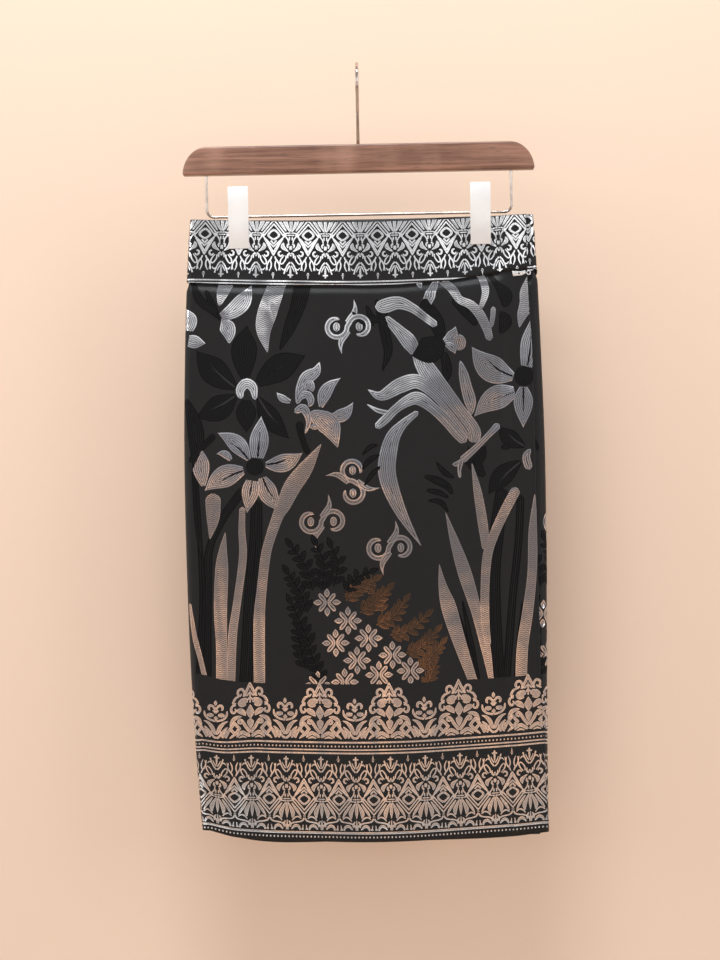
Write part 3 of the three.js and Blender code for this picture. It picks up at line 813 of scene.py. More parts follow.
def black_thread(name, gap, thread_color, rough):
    material, build, shader = finish(name, Specular_IOR_Level=0.12)
    inset = build.node("ShaderNodeAttribute", attribute_name="thread").outputs["Fac"]
    thread = build.group(METAL_THREAD, Map=cloth_map(build), Inset=inset, Contour=1.0, Pitch=1.9)
    shade = build.blend(thread.outputs["Float"], gap + (1,), thread_color + (1,))
    build.join(shade, shader.inputs["Base Color"])
    build.join(build.between(thread.outputs["Glint"], rough, rough + 0.08), shader.inputs["Roughness"])
    bump(build, shader, thread.outputs["Height"], 0.4, 0.0002, puckers(build))
    return material


def walnut():
    material, build, shader = finish("walnut", Coat_Weight=0.25, Coat_Roughness=0.28)
    grain = build.group(GRAIN, Place=place(build))
    brown = build.blend(grain.outputs["Grain"], (0.140, 0.060, 0.036, 1), (0.330, 0.166, 0.108, 1))
    for mask, share, color in (("Figure", 0.45, (0.47, 0.265, 0.178, 1)),
                               ("Pore", 0.65, (0.055, 0.024, 0.015, 1))):
        brown = build.blend(build.math("MULTIPLY", grain.outputs[mask], share), brown, color)
    build.join(brown, shader.inputs["Base Color"])
    build.join(build.between(grain.outputs["Pore"], 0.36, 0.5), shader.inputs["Roughness"])
    bump(build, shader, grain.outputs["Pore"], 0.15, 0.0002)
    return material


def bare_metal(name, color, low, high, size=120.0, metallic=1.0):
    material, build, shader = finish(name, Metallic=metallic)
    wear = build.group(WEAR, Place=place(build), Size=size)
    dull = tuple(0.86 * v for v in color) + (1,)
    build.join(build.blend(wear.outputs["Cloud"], color + (1,), dull), shader.inputs["Base Color"])
    rough = build.between(wear.outputs["Cloud"], low, high)
    build.join(build.math("ADD", rough, build.math("MULTIPLY", wear.outputs["Scratch"], 0.03)),
               shader.inputs["Roughness"])
    return material


BROCADE = black_brocade()
CONTOUR_SILVER = silver_thread("contour_silver", 1.0, 1.95, (0.72, 0.72, 0.74), (0.03, 0.03, 0.032))
WEFT_SILVER = silver_thread("weft_silver", 0.0, 1.95, (0.66, 0.65, 0.66), (0.04, 0.04, 0.042))
BORDER_SILVER = silver_thread("border_silver", 0.0, 1.25, (0.94, 0.94, 0.95), (0.04, 0.04, 0.042))
INK_THREAD = black_thread("black_thread", (0.0130, 0.0132, 0.0140), (0.0020, 0.0021, 0.0023), 0.5)
RIB_BLACK = black_thread("rib_black", (0.008, 0.008, 0.009), (0.005, 0.005, 0.006), 0.6)
FAINT_THREAD = black_thread("faint_thread", (0.04, 0.04, 0.043), (0.028, 0.028, 0.03), 0.4)
BRONZE_THREAD = silver_thread("dark_bronze_thread", 1.0, 1.5, (0.21, 0.145, 0.10), (0.006, 0.0052, 0.005))
WALNUT = walnut()
CHROME = bare_metal("chrome_wire", (0.56, 0.50, 0.45), 0.12, 0.2)
# Steel of the clips and springs: a near-white, mostly non-metallic colour with a slight cool tint, which
# paints in the bright reflection that polished steel would show
STEEL_WITH_PAINTED_REFLECTION = bare_metal("clip_steel_painted_reflection", (0.97, 0.99, 0.99), 0.22, 0.25, 20.0, 0.2)
NICKEL = bare_metal("nickel", (0.93, 0.93, 0.92), 0.22, 0.32, 400.0, 0.6)
SEWING = black_thread("sewing_thread", (0.004, 0.004, 0.0045), (0.012, 0.012, 0.013), 0.55)

for piece in (skirt_front, skirt_back, band_front, band_back):
    give(piece, BROCADE)

# ------------------------------------------------------------------ hanger


def tube(name, points, radii, sides=20):
    """A round wire through points, with a radius at each and closed rounded ends."""
    points = np.asarray(points, float)
    radii = np.broadcast_to(np.asarray(radii, float), (len(points),))
    way = np.gradient(points, axis=0)
    way /= np.linalg.norm(way, axis=1, keepdims=True)
    side = np.cross(way[0], (0.0, 0.0, 1.0) if abs(way[0][2]) < 0.9 else (1.0, 0.0, 0.0))
    rings = []
    for point, ahead, radius in zip(points, way, radii):
        side = side - ahead * np.dot(side, ahead)
        side /= np.linalg.norm(side)
        up = np.cross(ahead, side)
        angle = np.linspace(0, 2 * math.pi, sides, endpoint=False)[:, None]
        rings.append(point + radius * (np.cos(angle) * side + np.sin(angle) * up))
    count = len(points)
    vertices = np.vstack(rings + [points[:1] - way[:1] * radii[0] * 0.3,
                                  points[-1:] + way[-1:] * radii[-1] * 0.3])
    faces = []
    for i in range(count - 1):
        for j in range(sides):
            k = (j + 1) % sides
            faces.append((i * sides + j, i * sides + k, (i + 1) * sides + k, (i + 1) * sides + j))
    first, last = count * sides, count * sides + 1
    for j in range(sides):
        k = (j + 1) % sides
        faces.append((first, k, j))
        faces.append((last, (count - 1) * sides + j, (count - 1) * sides + k))
    return mesh_object(name, vertices, faces)


def wooden_bar():
    """The bar: a slab with rounded upper corners, softened along every edge."""
    half, top, foot, thick, corner = 180.0, -81.0, -110.0, 13.0, 25.0
    turn = np.linspace(0, math.pi / 2, 15)
    right = [(half - corner + corner * math.cos(t), foot + (top - foot) * math.sin(t)) for t in turn]
    outline = [(-half, foot), *[(x, foot) for x in np.linspace(-half, half, 9)[1:-1]], *right]
    outline += [(x, top) for x in np.linspace(half - corner, -half + corner, 9)[1:-1]]
    outline += [(-x, z) for x, z in reversed(right)][:-1]
    mesh = bmesh.new()
    low = [mesh.verts.new((x * MM, thick / 2 * MM, z * MM)) for x, z in outline]
    face = mesh.faces.new(low)
    made = bmesh.ops.extrude_face_region(mesh, geom=[face])
    moved = [v for v in made["geom"] if isinstance(v, bmesh.types.BMVert)]
    bmesh.ops.translate(mesh, verts=moved, vec=(0, -thick * MM, 0))
    bmesh.ops.recalc_face_normals(mesh, faces=mesh.faces)
    data = bpy.data.meshes.new("wooden_bar")
    mesh.to_mesh(data)
    mesh.free()
    bar = bpy.data.objects.new("wooden_bar", data)
    bpy.context.scene.collection.objects.link(bar)
    soften(bar, 2.2, 4, 50)
    return bar


def soften(piece, width, segments, angle=35):
    bevel = piece.modifiers.new("edges", "BEVEL")
    bevel.width, bevel.segments = width * MM, segments
    bevel.limit_method, bevel.angle_limit = "ANGLE", math.radians(angle)
    settle(piece)
    round_shaded(piece)
    sharp = piece.data.attributes.get("sharp_edge")
    if sharp:
        piece.data.attributes.remove(sharp)


def settle(piece):
    """Turns a piece and its modifiers into a plain mesh."""
    ready = piece.evaluated_get(bpy.context.evaluated_depsgraph_get())
    mesh = bpy.data.meshes.new_from_object(ready)
    old = piece.data
    piece.modifiers.clear()
    piece.data = mesh
    if isinstance(old, bpy.types.Mesh):
        bpy.data.meshes.remove(old)
    mesh.name = piece.name


def dressed(node, width, segments=2):
    """A copy of a hard node with its edges softened."""
    mesh = bmesh.new()
    mesh.from_mesh(NODES[node].data)
    bmesh.ops.remove_doubles(mesh, verts=mesh.verts, dist=0.02 * MM)
    bmesh.ops.dissolve_limit(mesh, angle_limit=math.radians(2), verts=mesh.verts, edges=mesh.edges)
    data = bpy.data.meshes.new(node + "_soft")
    mesh.to_mesh(data)
    mesh.free()
    piece = bpy.data.objects.new(node + "_soft", data)
    bpy.context.scene.collection.objects.link(piece)
    soften(piece, width, segments)
    return piece


def wire_frame_points():
    leg, drop, bend, foot, socket = 156.0, 152.7, 7.5, 110.0, 11.7
    half = [(leg, 0, z) for z in np.linspace(-foot + socket, -drop + bend + 0.5, 10)]
    half += [(leg - bend * (1 - math.cos(a)), 0, -drop + bend * (1 - math.sin(a)))
             for a in np.linspace(0, math.pi / 2, 12)]
    middle = [(x, 0, -drop) for x in np.linspace(leg - bend - 2, -(leg - bend - 2), 60)]
    return half + middle + [(-x, y, z) for x, y, z in reversed(half)]


def hook_points():
    inner, thick, tip_drop = 17.5, 3.4, 23.0
    radius = inner + thick / 2
    tip = -math.asin((tip_drop - inner) / radius)
    arc = [(0, radius * math.cos(a), -inner + radius * math.sin(a))
           for a in np.linspace(tip, math.radians(205), 15)]
    stem = [(0, -9, -38), (0, -2, -47)] + [(0, 0, -d) for d in (54, 68, 81, 94.7)]
    return smooth_line(np.array(arc + stem), 1.2)


def hook_with_bead():
    """The swivel hook, its wire swelling to a bead at the tip."""
    wire, bead, bead_at, bead_to = 1.7, 2.6, 1.6, 3.4
    line = hook_points()
    gone = distance_along(line)
    swell = np.sqrt(np.maximum(bead ** 2 - (gone - bead_at) ** 2, 0))
    return tube("swivel_hook", line, np.where(gone < bead_to, np.maximum(wire, swell), wire))


swivel_hook = hook_with_bead()
give(swivel_hook, CHROME)
clip_wire = tube("clip_wire", wire_frame_points(), 1.4)
give(clip_wire, CHROME)
bar = wooden_bar()
give(bar, WALNUT)

hard_pieces = {"hanger_hook": swivel_hook, "hanger_wire": clip_wire, "hanger_bar": bar}
for side in ("left", "right"):
    for part in ("front", "back"):
        node = f"clip_{side}_{part}"
        hard_pieces[node] = dressed(node, 0.22)
        give(hard_pieces[node], STEEL_WITH_PAINTED_REFLECTION)
for node in ("waist_hook", "waist_bar"):
    hard_pieces[node] = dressed(node, 0.18)
    give(hard_pieces[node], NICKEL)


def tree_with(name, inputs):
    tree = bpy.data.node_groups.new(name, "GeometryNodeTree")
    tree.interface.new_socket("Geometry", in_out="INPUT", socket_type="NodeSocketGeometry")
    tree.interface.new_socket("Geometry", in_out="OUTPUT", socket_type="NodeSocketGeometry")
    add_inputs(tree, inputs)
    return tree, tree.nodes.new("NodeGroupInput"), tree.nodes.new("NodeGroupOutput")


def realize_painted(build, made, inputs, outputs):
    """Ends a tree: real meshes in the finish that it was given."""
    real = build.node("GeometryNodeRealizeInstances")
    build.join(made, real.inputs[0])
    painted = build.node("GeometryNodeSetMaterial")
    build.join(real.outputs[0], painted.inputs["Geometry"])
    build.join(inputs.outputs["Finish"], painted.inputs["Material"])
    build.join(painted.outputs[0], outputs.inputs[0])


def coil_tree():
    """A wire coil along X."""
    tree, inputs, outputs = tree_with("coil_spring", [
        ("Turns", "NodeSocketFloat", 7.0), ("Coil Radius", "NodeSocketFloat", 0.0023),
        ("Length", "NodeSocketFloat", 0.0112), ("Wire Radius", "NodeSocketFloat", 0.0004),
        ("Place", "NodeSocketVector", (0, 0, 0)), ("Finish", "NodeSocketMaterial", None)])
    build = Build(tree)
    spiral = build.node("GeometryNodeCurveSpiral")
    spiral.inputs["Resolution"].default_value = 18
    build.join(inputs.outputs["Turns"], spiral.inputs["Rotations"])
    build.join(inputs.outputs["Coil Radius"], spiral.inputs["Start Radius"])
    build.join(inputs.outputs["Coil Radius"], spiral.inputs["End Radius"])
    build.join(inputs.outputs["Length"], spiral.inputs["Height"])
    section = build.node("GeometryNodeCurvePrimitiveCircle")
    section.inputs["Resolution"].default_value = 8
    build.join(inputs.outputs["Wire Radius"], section.inputs["Radius"])
    swept = build.node("GeometryNodeCurveToMesh")
    swept.inputs["Fill Caps"].default_value = True
    build.join(spiral.outputs[0], swept.inputs["Curve"])
    build.join(section.outputs[0], swept.inputs["Profile Curve"])
    shift = build.node("GeometryNodeTransform")
    build.join(swept.outputs[0], shift.inputs["Geometry"])
    along_z = build.node("ShaderNodeCombineXYZ")
    build.join(build.math("MULTIPLY", inputs.outputs["Length"], -0.5), along_z.inputs["Z"])
    build.join(along_z.outputs[0], shift.inputs["Translation"])
    turned = build.node("GeometryNodeTransform")
    turned.inputs["Rotation"].default_value = (0, math.pi / 2, 0)
    build.join(shift.outputs[0], turned.inputs["Geometry"])
    build.join(inputs.outputs["Place"], turned.inputs["Translation"])
    realize_painted(build, turned.outputs[0], inputs, outputs)
    return tree


def stitch_tree():
    """Stitches laid end to end along the edges of a mesh line."""
    tree, inputs, outputs = tree_with("stitch_row", [
        ("Pitch", "NodeSocketFloat", 0.003), ("Stitch", "NodeSocketFloat", 0.0021),
        ("Thread", "NodeSocketFloat", 0.00025), ("Finish", "NodeSocketMaterial", None)])
    build = Build(tree)
    curve = build.node("GeometryNodeMeshToCurve")
    build.join(inputs.outputs["Geometry"], curve.inputs[0])
    spaced = build.node("GeometryNodeCurveToPoints", mode="LENGTH")
    build.join(curve.outputs[0], spaced.inputs["Curve"])
    build.join(inputs.outputs["Pitch"], spaced.inputs["Length"])
    bead_mesh = build.node("GeometryNodeMeshUVSphere")
    bead_mesh.inputs["Segments"].default_value = 6
    bead_mesh.inputs["Rings"].default_value = 5
    bead_mesh.inputs["Radius"].default_value = 0.5
    stretch = build.node("ShaderNodeCombineXYZ")
    thick = build.math("MULTIPLY", inputs.outputs["Thread"], 2.0)
    build.join(thick, stretch.inputs["X"])
    build.join(thick, stretch.inputs["Y"])
    build.join(inputs.outputs["Stitch"], stretch.inputs["Z"])
    shaped = build.node("GeometryNodeTransform")
    build.join(bead_mesh.outputs["Mesh"], shaped.inputs["Geometry"])
    build.join(stretch.outputs[0], shaped.inputs["Scale"])
    spread = build.node("GeometryNodeInstanceOnPoints")
    build.join(spaced.outputs["Points"], spread.inputs["Points"])
    build.join(shaped.outputs[0], spread.inputs["Instance"])
    build.join(spaced.outputs["Rotation"], spread.inputs["Rotation"])
    realize_painted(build, spread.outputs[0], inputs, outputs)
    return tree


def grow(piece, tree, **values):
    """Runs a tree on a piece and keeps the plain mesh that it makes."""
    modifier = piece.modifiers.new(tree.name, "NODES")
    modifier.node_group = tree
    named = {item.name: item.identifier for item in tree.interface.items_tree
             if item.item_type == "SOCKET" and item.in_out == "INPUT"}
    for label, value in values.items():
        modifier[named[label.replace("_", " ")]] = value
    piece.update_tag()
    settle(piece)
    round_shaded(piece)
    return piece


COIL, STITCHES = coil_tree(), stitch_tree()
for side, x in (("left", -CLIP_X), ("right", CLIP_X)):
    spring = mesh_object(f"coil_{side}", [(0, 0, 0)], [])
    grow(spring, COIL, Turns=8.0, Coil_Radius=0.0023, Length=0.0112, Wire_Radius=0.00045,
         Place=(x * MM, 0.0, -0.1527), Finish=STEEL_WITH_PAINTED_REFLECTION)
    hard_pieces[f"clip_{side}_spring"] = spring

# ------------------------------------------------------------------ the charted borders

BORDER_PERIOD = 35.45  # from one lozenge to the next
TUMPAL_PERIOD = 2 * BORDER_PERIOD
TUMPAL_FOOT = 101.4  # from the hem to the tumpals' base line


def stroked(lines, discs=(), lozenges=(), corners=()):
    """One side of a motif, mirrored about its own middle line."""
    half = Drawing()
    for points, width in lines:
        half.ribbon(points, width, step=1.5)
    for points, width in corners:
        half.straight(points, width)
    for x, y, wide, high in discs:
        half.disc(x, y, wide, high, parts=6)
    for x, y, wide, high in lozenges:
        half.lozenge(x, y, wide, high)
    whole = Drawing()
    whole.both(half)
    return whole


def lozenge_unit():
    """The lozenge of the lower border, from its foot to the bead on its lyre."""
    whole = stroked(
        lines=[
            ([(1.6, 62.5), (2.6, 65), (4.8, 68), (6.4, 72), (5.6, 76.6)], [1.1, 1.5, 1.5, 1.3, 0.7]),
            ([(3.0, 66.5), (1.9, 70), (2.3, 73.5), (3.9, 77.4)], [1.2, 1.3, 1.3, 0.6]),
            ([(7.2, 76.8), (6.6, 73)], [0.8, 1.1]),
            ([(0, 45.4), (3.2, 43.6), (5.6, 40.8), (3.4, 37.6), (0, 35.2)], [2.2, 1.9, 2.3, 1.9, 2.2]),
            ([(4.6, 9), (6, 12.6), (9.6, 13.6), (13.4, 10)], [1.4, 2.6, 2.9, 1.2]),
            ([(1.6, 9.2), (1.9, 12), (1.5, 14.4)], [1.6, 1.1, 0.8]),
            ([(0.4, 21.4), (2.2, 18.6), (6, 17.4), (11, 16.6), (15.4, 14.4), (17.6, 11.4)],
             [1.6, 1.6, 1.3, 1.5, 1.6, 2.4]),
            ([(3.4, 20.6), (6.6, 22.8), (10.4, 21.4), (12.6, 18.6)], [1.0, 1.4, 1.5, 0.9]),
        ],
        corners=[
            ([(0, 61.2), (9.2, 44.6)], 1.5), ([(0, 58.0), (7.0, 45.6)], 1.2),
            ([(0, 52.6), (10.8, 42.3), (0, 29.4)], 1.35), ([(12.9, 41.2), (7.6, 34.4), (0, 25.2)], 1.35),
            ([(0, 49.6), (2.8, 46.6)], 1.5),
        ],
        discs=[(0, 81, 2.8, 3.0), (2.6, 10.2, 1.8, 1.8)],
        lozenges=[(0, 23.4, 3.0, 4.0)])
    whole.ribbon([(0, 79), (0, 82.5), (0, 85.4)], [1.6, 1.1, 0.3])
    return whole


def palmette_unit():
    """The palmette between two lozenges: a cross on a branch, a small figure and a fan of leaves."""
    whole = stroked(
        lines=[
            ([(0.4, 68.2), (3.2, 71.4), (5.2, 76.0), (6.6, 80.2)], [1.6, 1.4, 1.2, 1.5]),
            ([(0.6, 71.8), (2.6, 74.8), (3.9, 78)], [1.4, 1.1, 0.6]),
            ([(4.4, 74.6), (7.2, 76.2), (9.4, 74.0)], [1.0, 1.4, 0.7]),
            ([(4.6, 61.6), (5.0, 65.4), (8.4, 70), (10.8, 69.2), (9.8, 65.4), (6.6, 61.2)],
             [1.2, 1.3, 1.3, 1.4, 1.3, 0.9]),
            ([(8.2, 60.4), (10.0, 62.2), (12.4, 60.6), (11.9, 57.8), (9.8, 57.4)],
             [0.9, 1.7, 1.9, 1.7, 1.1]),
            ([(2.8, 64.2), (2.9, 60.8), (0.6, 58.8)], [0.9, 1.8, 1.9]),
            ([(2.2, 57.4), (5.4, 55.2), (8.2, 52.4), (7.4, 48.2)], [0.9, 2.6, 4.2, 1.0]),
            ([(2.9, 53.8), (3.4, 51.0), (1.6, 49.4)], [1.0, 2.0, 1.4]),
            ([(2.2, 48.6), (2.9, 45.4), (5.2, 42.4), (8.0, 39.6)], [1.1, 1.3, 1.3, 1.0]),
            ([(0.9, 37.4), (3.6, 32.4), (6.0, 26.4), (5.4, 21.2)], [1.2, 3.0, 4.2, 1.2]),
            ([(5.0, 36.6), (8.4, 31.6), (11.6, 27.0), (14.2, 22.2)], [1.2, 2.5, 2.6, 0.8]),
            ([(3.0, 38.4), (6.2, 39.2), (7.8, 36.8)], [1.0, 1.6, 0.8]),
            ([(1.6, 18.4), (3.4, 15.6), (3.2, 12.2)], [0.9, 2.2, 1.4]),
        ],
        discs=[(0.7, 53.6, 1.6, 4.6), (1.4, 44.2, 1.5, 4.2), (1.5, 38.6, 2.6, 1.9)],
        corners=[([(0, 40.8), (3.1, 40.8)], 1.1)])
    whole.ribbon([(0, 73.4), (0, 78), (0, 84.2)], [0.7, 1.9, 1.3])
    whole.ribbon([(-2.7, 81.2), (0, 81.8), (2.7, 81.2)], [1.2, 1.8, 1.2])
    whole.ribbon([(0, 37.2), (0, 33), (0, 28), (0, 21.4)], [0.6, 2.2, 3.2, 0.6])
    whole.disc(0, 61.4, 2.0, 2.2)
    whole.ribbon([(0, 19.6), (0, 14), (0, 9.4)], [0.6, 1.7, 2.8])
    return whole


def tumpal_unit():
    """The tall pointed motif, drawn up from its own base line."""
    whole = stroked(
        lines=[
            ([(0.8, 47.4), (3.2, 44.2), (5.2, 46.2)], [1.2, 1.8, 0.9]),
            ([(0.8, 42.2), (2.8, 39.8), (4.8, 42.0)], [1.2, 1.8, 0.9]),
            ([(6.4, 43.2), (5.8, 47.6), (8.2, 51.4), (11.6, 50.6), (12.4, 46.8), (10.0, 44.4), (8.6, 46.6)],
             [1.6, 2.2, 2.4, 2.4, 2.3, 1.9, 1.2]),
            ([(11.4, 43.8), (14.2, 43.2), (16.8, 39.6), (17.2, 36.6), (14.4, 37.6)],
             [1.4, 2.4, 2.4, 2.2, 1.0]),
            ([(14.6, 35.4), (18.2, 34.8), (19.6, 31.0), (17.6, 27.6), (14.6, 29.2), (15.6, 32.0)],
             [1.6, 2.3, 2.5, 2.5, 2.0, 1.2]),
            ([(2.2, 37.6), (4.4, 38.8), (8.2, 37.2), (12.6, 37.6)], [1.0, 6.4, 9.0, 5.2]),
            ([(4.6, 23.6), (7.2, 27.0), (11.0, 29.4), (14.4, 30.2)], [1.0, 5.0, 5.4, 1.6]),
            ([(8.8, 23.2), (13.2, 22.8), (17.4, 20.6), (20.2, 16.2), (21.0, 13.8)],
             [1.0, 3.4, 4.2, 2.2, 0.8]),
            ([(9.2, 15.6), (12.4, 17.2), (11.0, 20.2), (8.2, 18.0), (4.8, 12.4), (0.2, 6.4)],
             [1.4, 2.4, 2.6, 3.0, 3.2, 3.2]),
            ([(0.6, 2.2), (4.6, 5.0), (8.6, 6.8), (12.2, 4.8), (14.4, 1.8)], [3.2, 3.4, 3.8, 3.2, 1.2]),
            ([(4.4, 1.2), (8.4, 2.6), (12.4, 1.2)], [0.8, 2.0, 0.8]),
            ([(20.6, 11.0), (23.4, 8.4), (25.6, 4.4), (25.0, 1.4)], [1.4, 4.0, 4.2, 1.8]),
            ([(23.6, 13.2), (27.2, 9.6), (29.4, 5.2), (28.4, 1.6)], [1.2, 3.0, 3.0, 1.6]),
            ([(15.0, 4.4), (18.2, 3.8), (21.6, 1.0)], [0.8, 2.6, 1.0]),
            ([(30.4, 9.4), (31.0, 5.6), (33.2, 2.2), (35.4, 1.6)], [0.7, 1.8, 2.2, 2.0]),
        ],
        corners=[
            ([(0, 57.6), (6.9, 43.8)], 1.25), ([(0, 54.2), (5.0, 44.2)], 1.1),
            ([(16.4, 16.8), (21.0, 11.2), (16.0, 5.4), (11.4, 10.8), (16.4, 16.8)], 3.0),
        ])
    whole.ribbon([(0, 50.2), (0, 45), (0, 36.8)], [0.5, 1.5, 1.5])
    whole.ribbon([(0, 35), (0, 30), (0, 26.6), (0, 20.2)], [0.5, 6.2, 8.2, 0.5])
    whole.ribbon([(0, 20.4), (0, 16), (0, 9.8)], [7.0, 6.6, 0.5])
    return whole


def bud_unit():
    """The small bud on a stem between two tumpals."""
    whole = stroked(
        lines=[
            ([(0.8, 32.6), (3.0, 36.2), (6.0, 36.4), (7.2, 33.2), (5.8, 31.6)], [1.6, 2.4, 2.8, 2.4, 1.2]),
            ([(11.6, 30.4), (11.0, 25.8), (7.2, 21.6), (0.4, 19.8)], [1.2, 2.4, 2.1, 2.0]),
            ([(12.6, 19.6), (8.0, 17.6), (4.0, 13.0), (0.6, 5.0)], [0.8, 2.8, 4.2, 2.6]),
            ([(5.4, 8.4), (4.6, 4.6), (0.2, 1.4)], [0.7, 1.6, 2.2]),
        ],
        discs=[(5.6, 26.2, 6.8, 4.8)],
        corners=[([(0.4, 29.0), (2.4, 31.4)], 1.6)])
    whole.ribbon([(0, 42.4), (0, 39.6), (0, 36.6)], [0.5, 3.6, 1.2])
    whole.lozenge(0, 23.0, 4.6, 5.0)
    whole.lozenge(0, 32.4, 3.2, 6.4)
    return whole


LOZENGE, PALMETTE, TUMPAL, BUD = lozenge_unit(), palmette_unit(), tumpal_unit(), bud_unit()


def run_line(drawing, first, last, height, width):
    step = 2.6
    ways = np.arange(first, last + step, step)
    drawing.strip(np.column_stack([ways, np.full(len(ways), height)]), np.full(len(ways), width / 2), SILVER)


def run_dots(drawing, first, last, height):
    wide, high, pitch = 1.9, 2.2, 3.75
    for way in np.arange(first, last, pitch):
        drawing.lozenge(way, height, wide, high)
        drawing.ribbon([(way - wide * 0.32, height), (way + wide * 0.32, height)], high * 0.62, step=9)


def lozenge_border(drawing, first, last, phase):
    """Lozenges and palmettes by turns from one way round the cloth to another."""
    start = math.floor((first - phase) / BORDER_PERIOD)
    for k in range(start, math.ceil((last - phase) / BORDER_PERIOD) + 1):
        drawing.stamp(LOZENGE, phase + k * BORDER_PERIOD)
        drawing.stamp(PALMETTE, phase + (k + 0.5) * BORDER_PERIOD)


def hem_border(first, last, phase):
    """The whole lower border: dots, lozenges, lines, dots and tumpals, from the hem up."""
    drawing = Drawing()
    run_dots(drawing, first, last, 2.5)
    run_line(drawing, first, last, 6.7, 2.2)
    lozenge_border(drawing, first, last, phase)
    run_line(drawing, first, last, 87.8, 1.6)
    run_line(drawing, first, last, 91.2, 1.4)
    run_dots(drawing, first, last, 94.8)
    run_line(drawing, first, last, 98.8, 1.7)
    start = math.floor((first - phase) / TUMPAL_PERIOD)
    for k in range(start, math.ceil((last - phase) / TUMPAL_PERIOD) + 1):
        drawing.stamp(TUMPAL, phase + (k + 0.25) * TUMPAL_PERIOD, TUMPAL_FOOT)
        drawing.stamp(BUD, phase + (k + 0.75) * TUMPAL_PERIOD, TUMPAL_FOOT)
    return drawing


def waist_border(first, last, phase, dotted=False):
    """The same lozenges upside down on the band, cut at its top, and two cords at its foot."""
    drawing = Drawing()
    lozenge_border(drawing, first, last, phase)
    run_line(drawing, first, last, 87.6, 1.4)
    run_line(drawing, first, last, 90.6, 1.2)
    if dotted:
        run_dots(drawing, first, last, 94.4)
    return drawing


# ------------------------------------------------------------------ the charted field

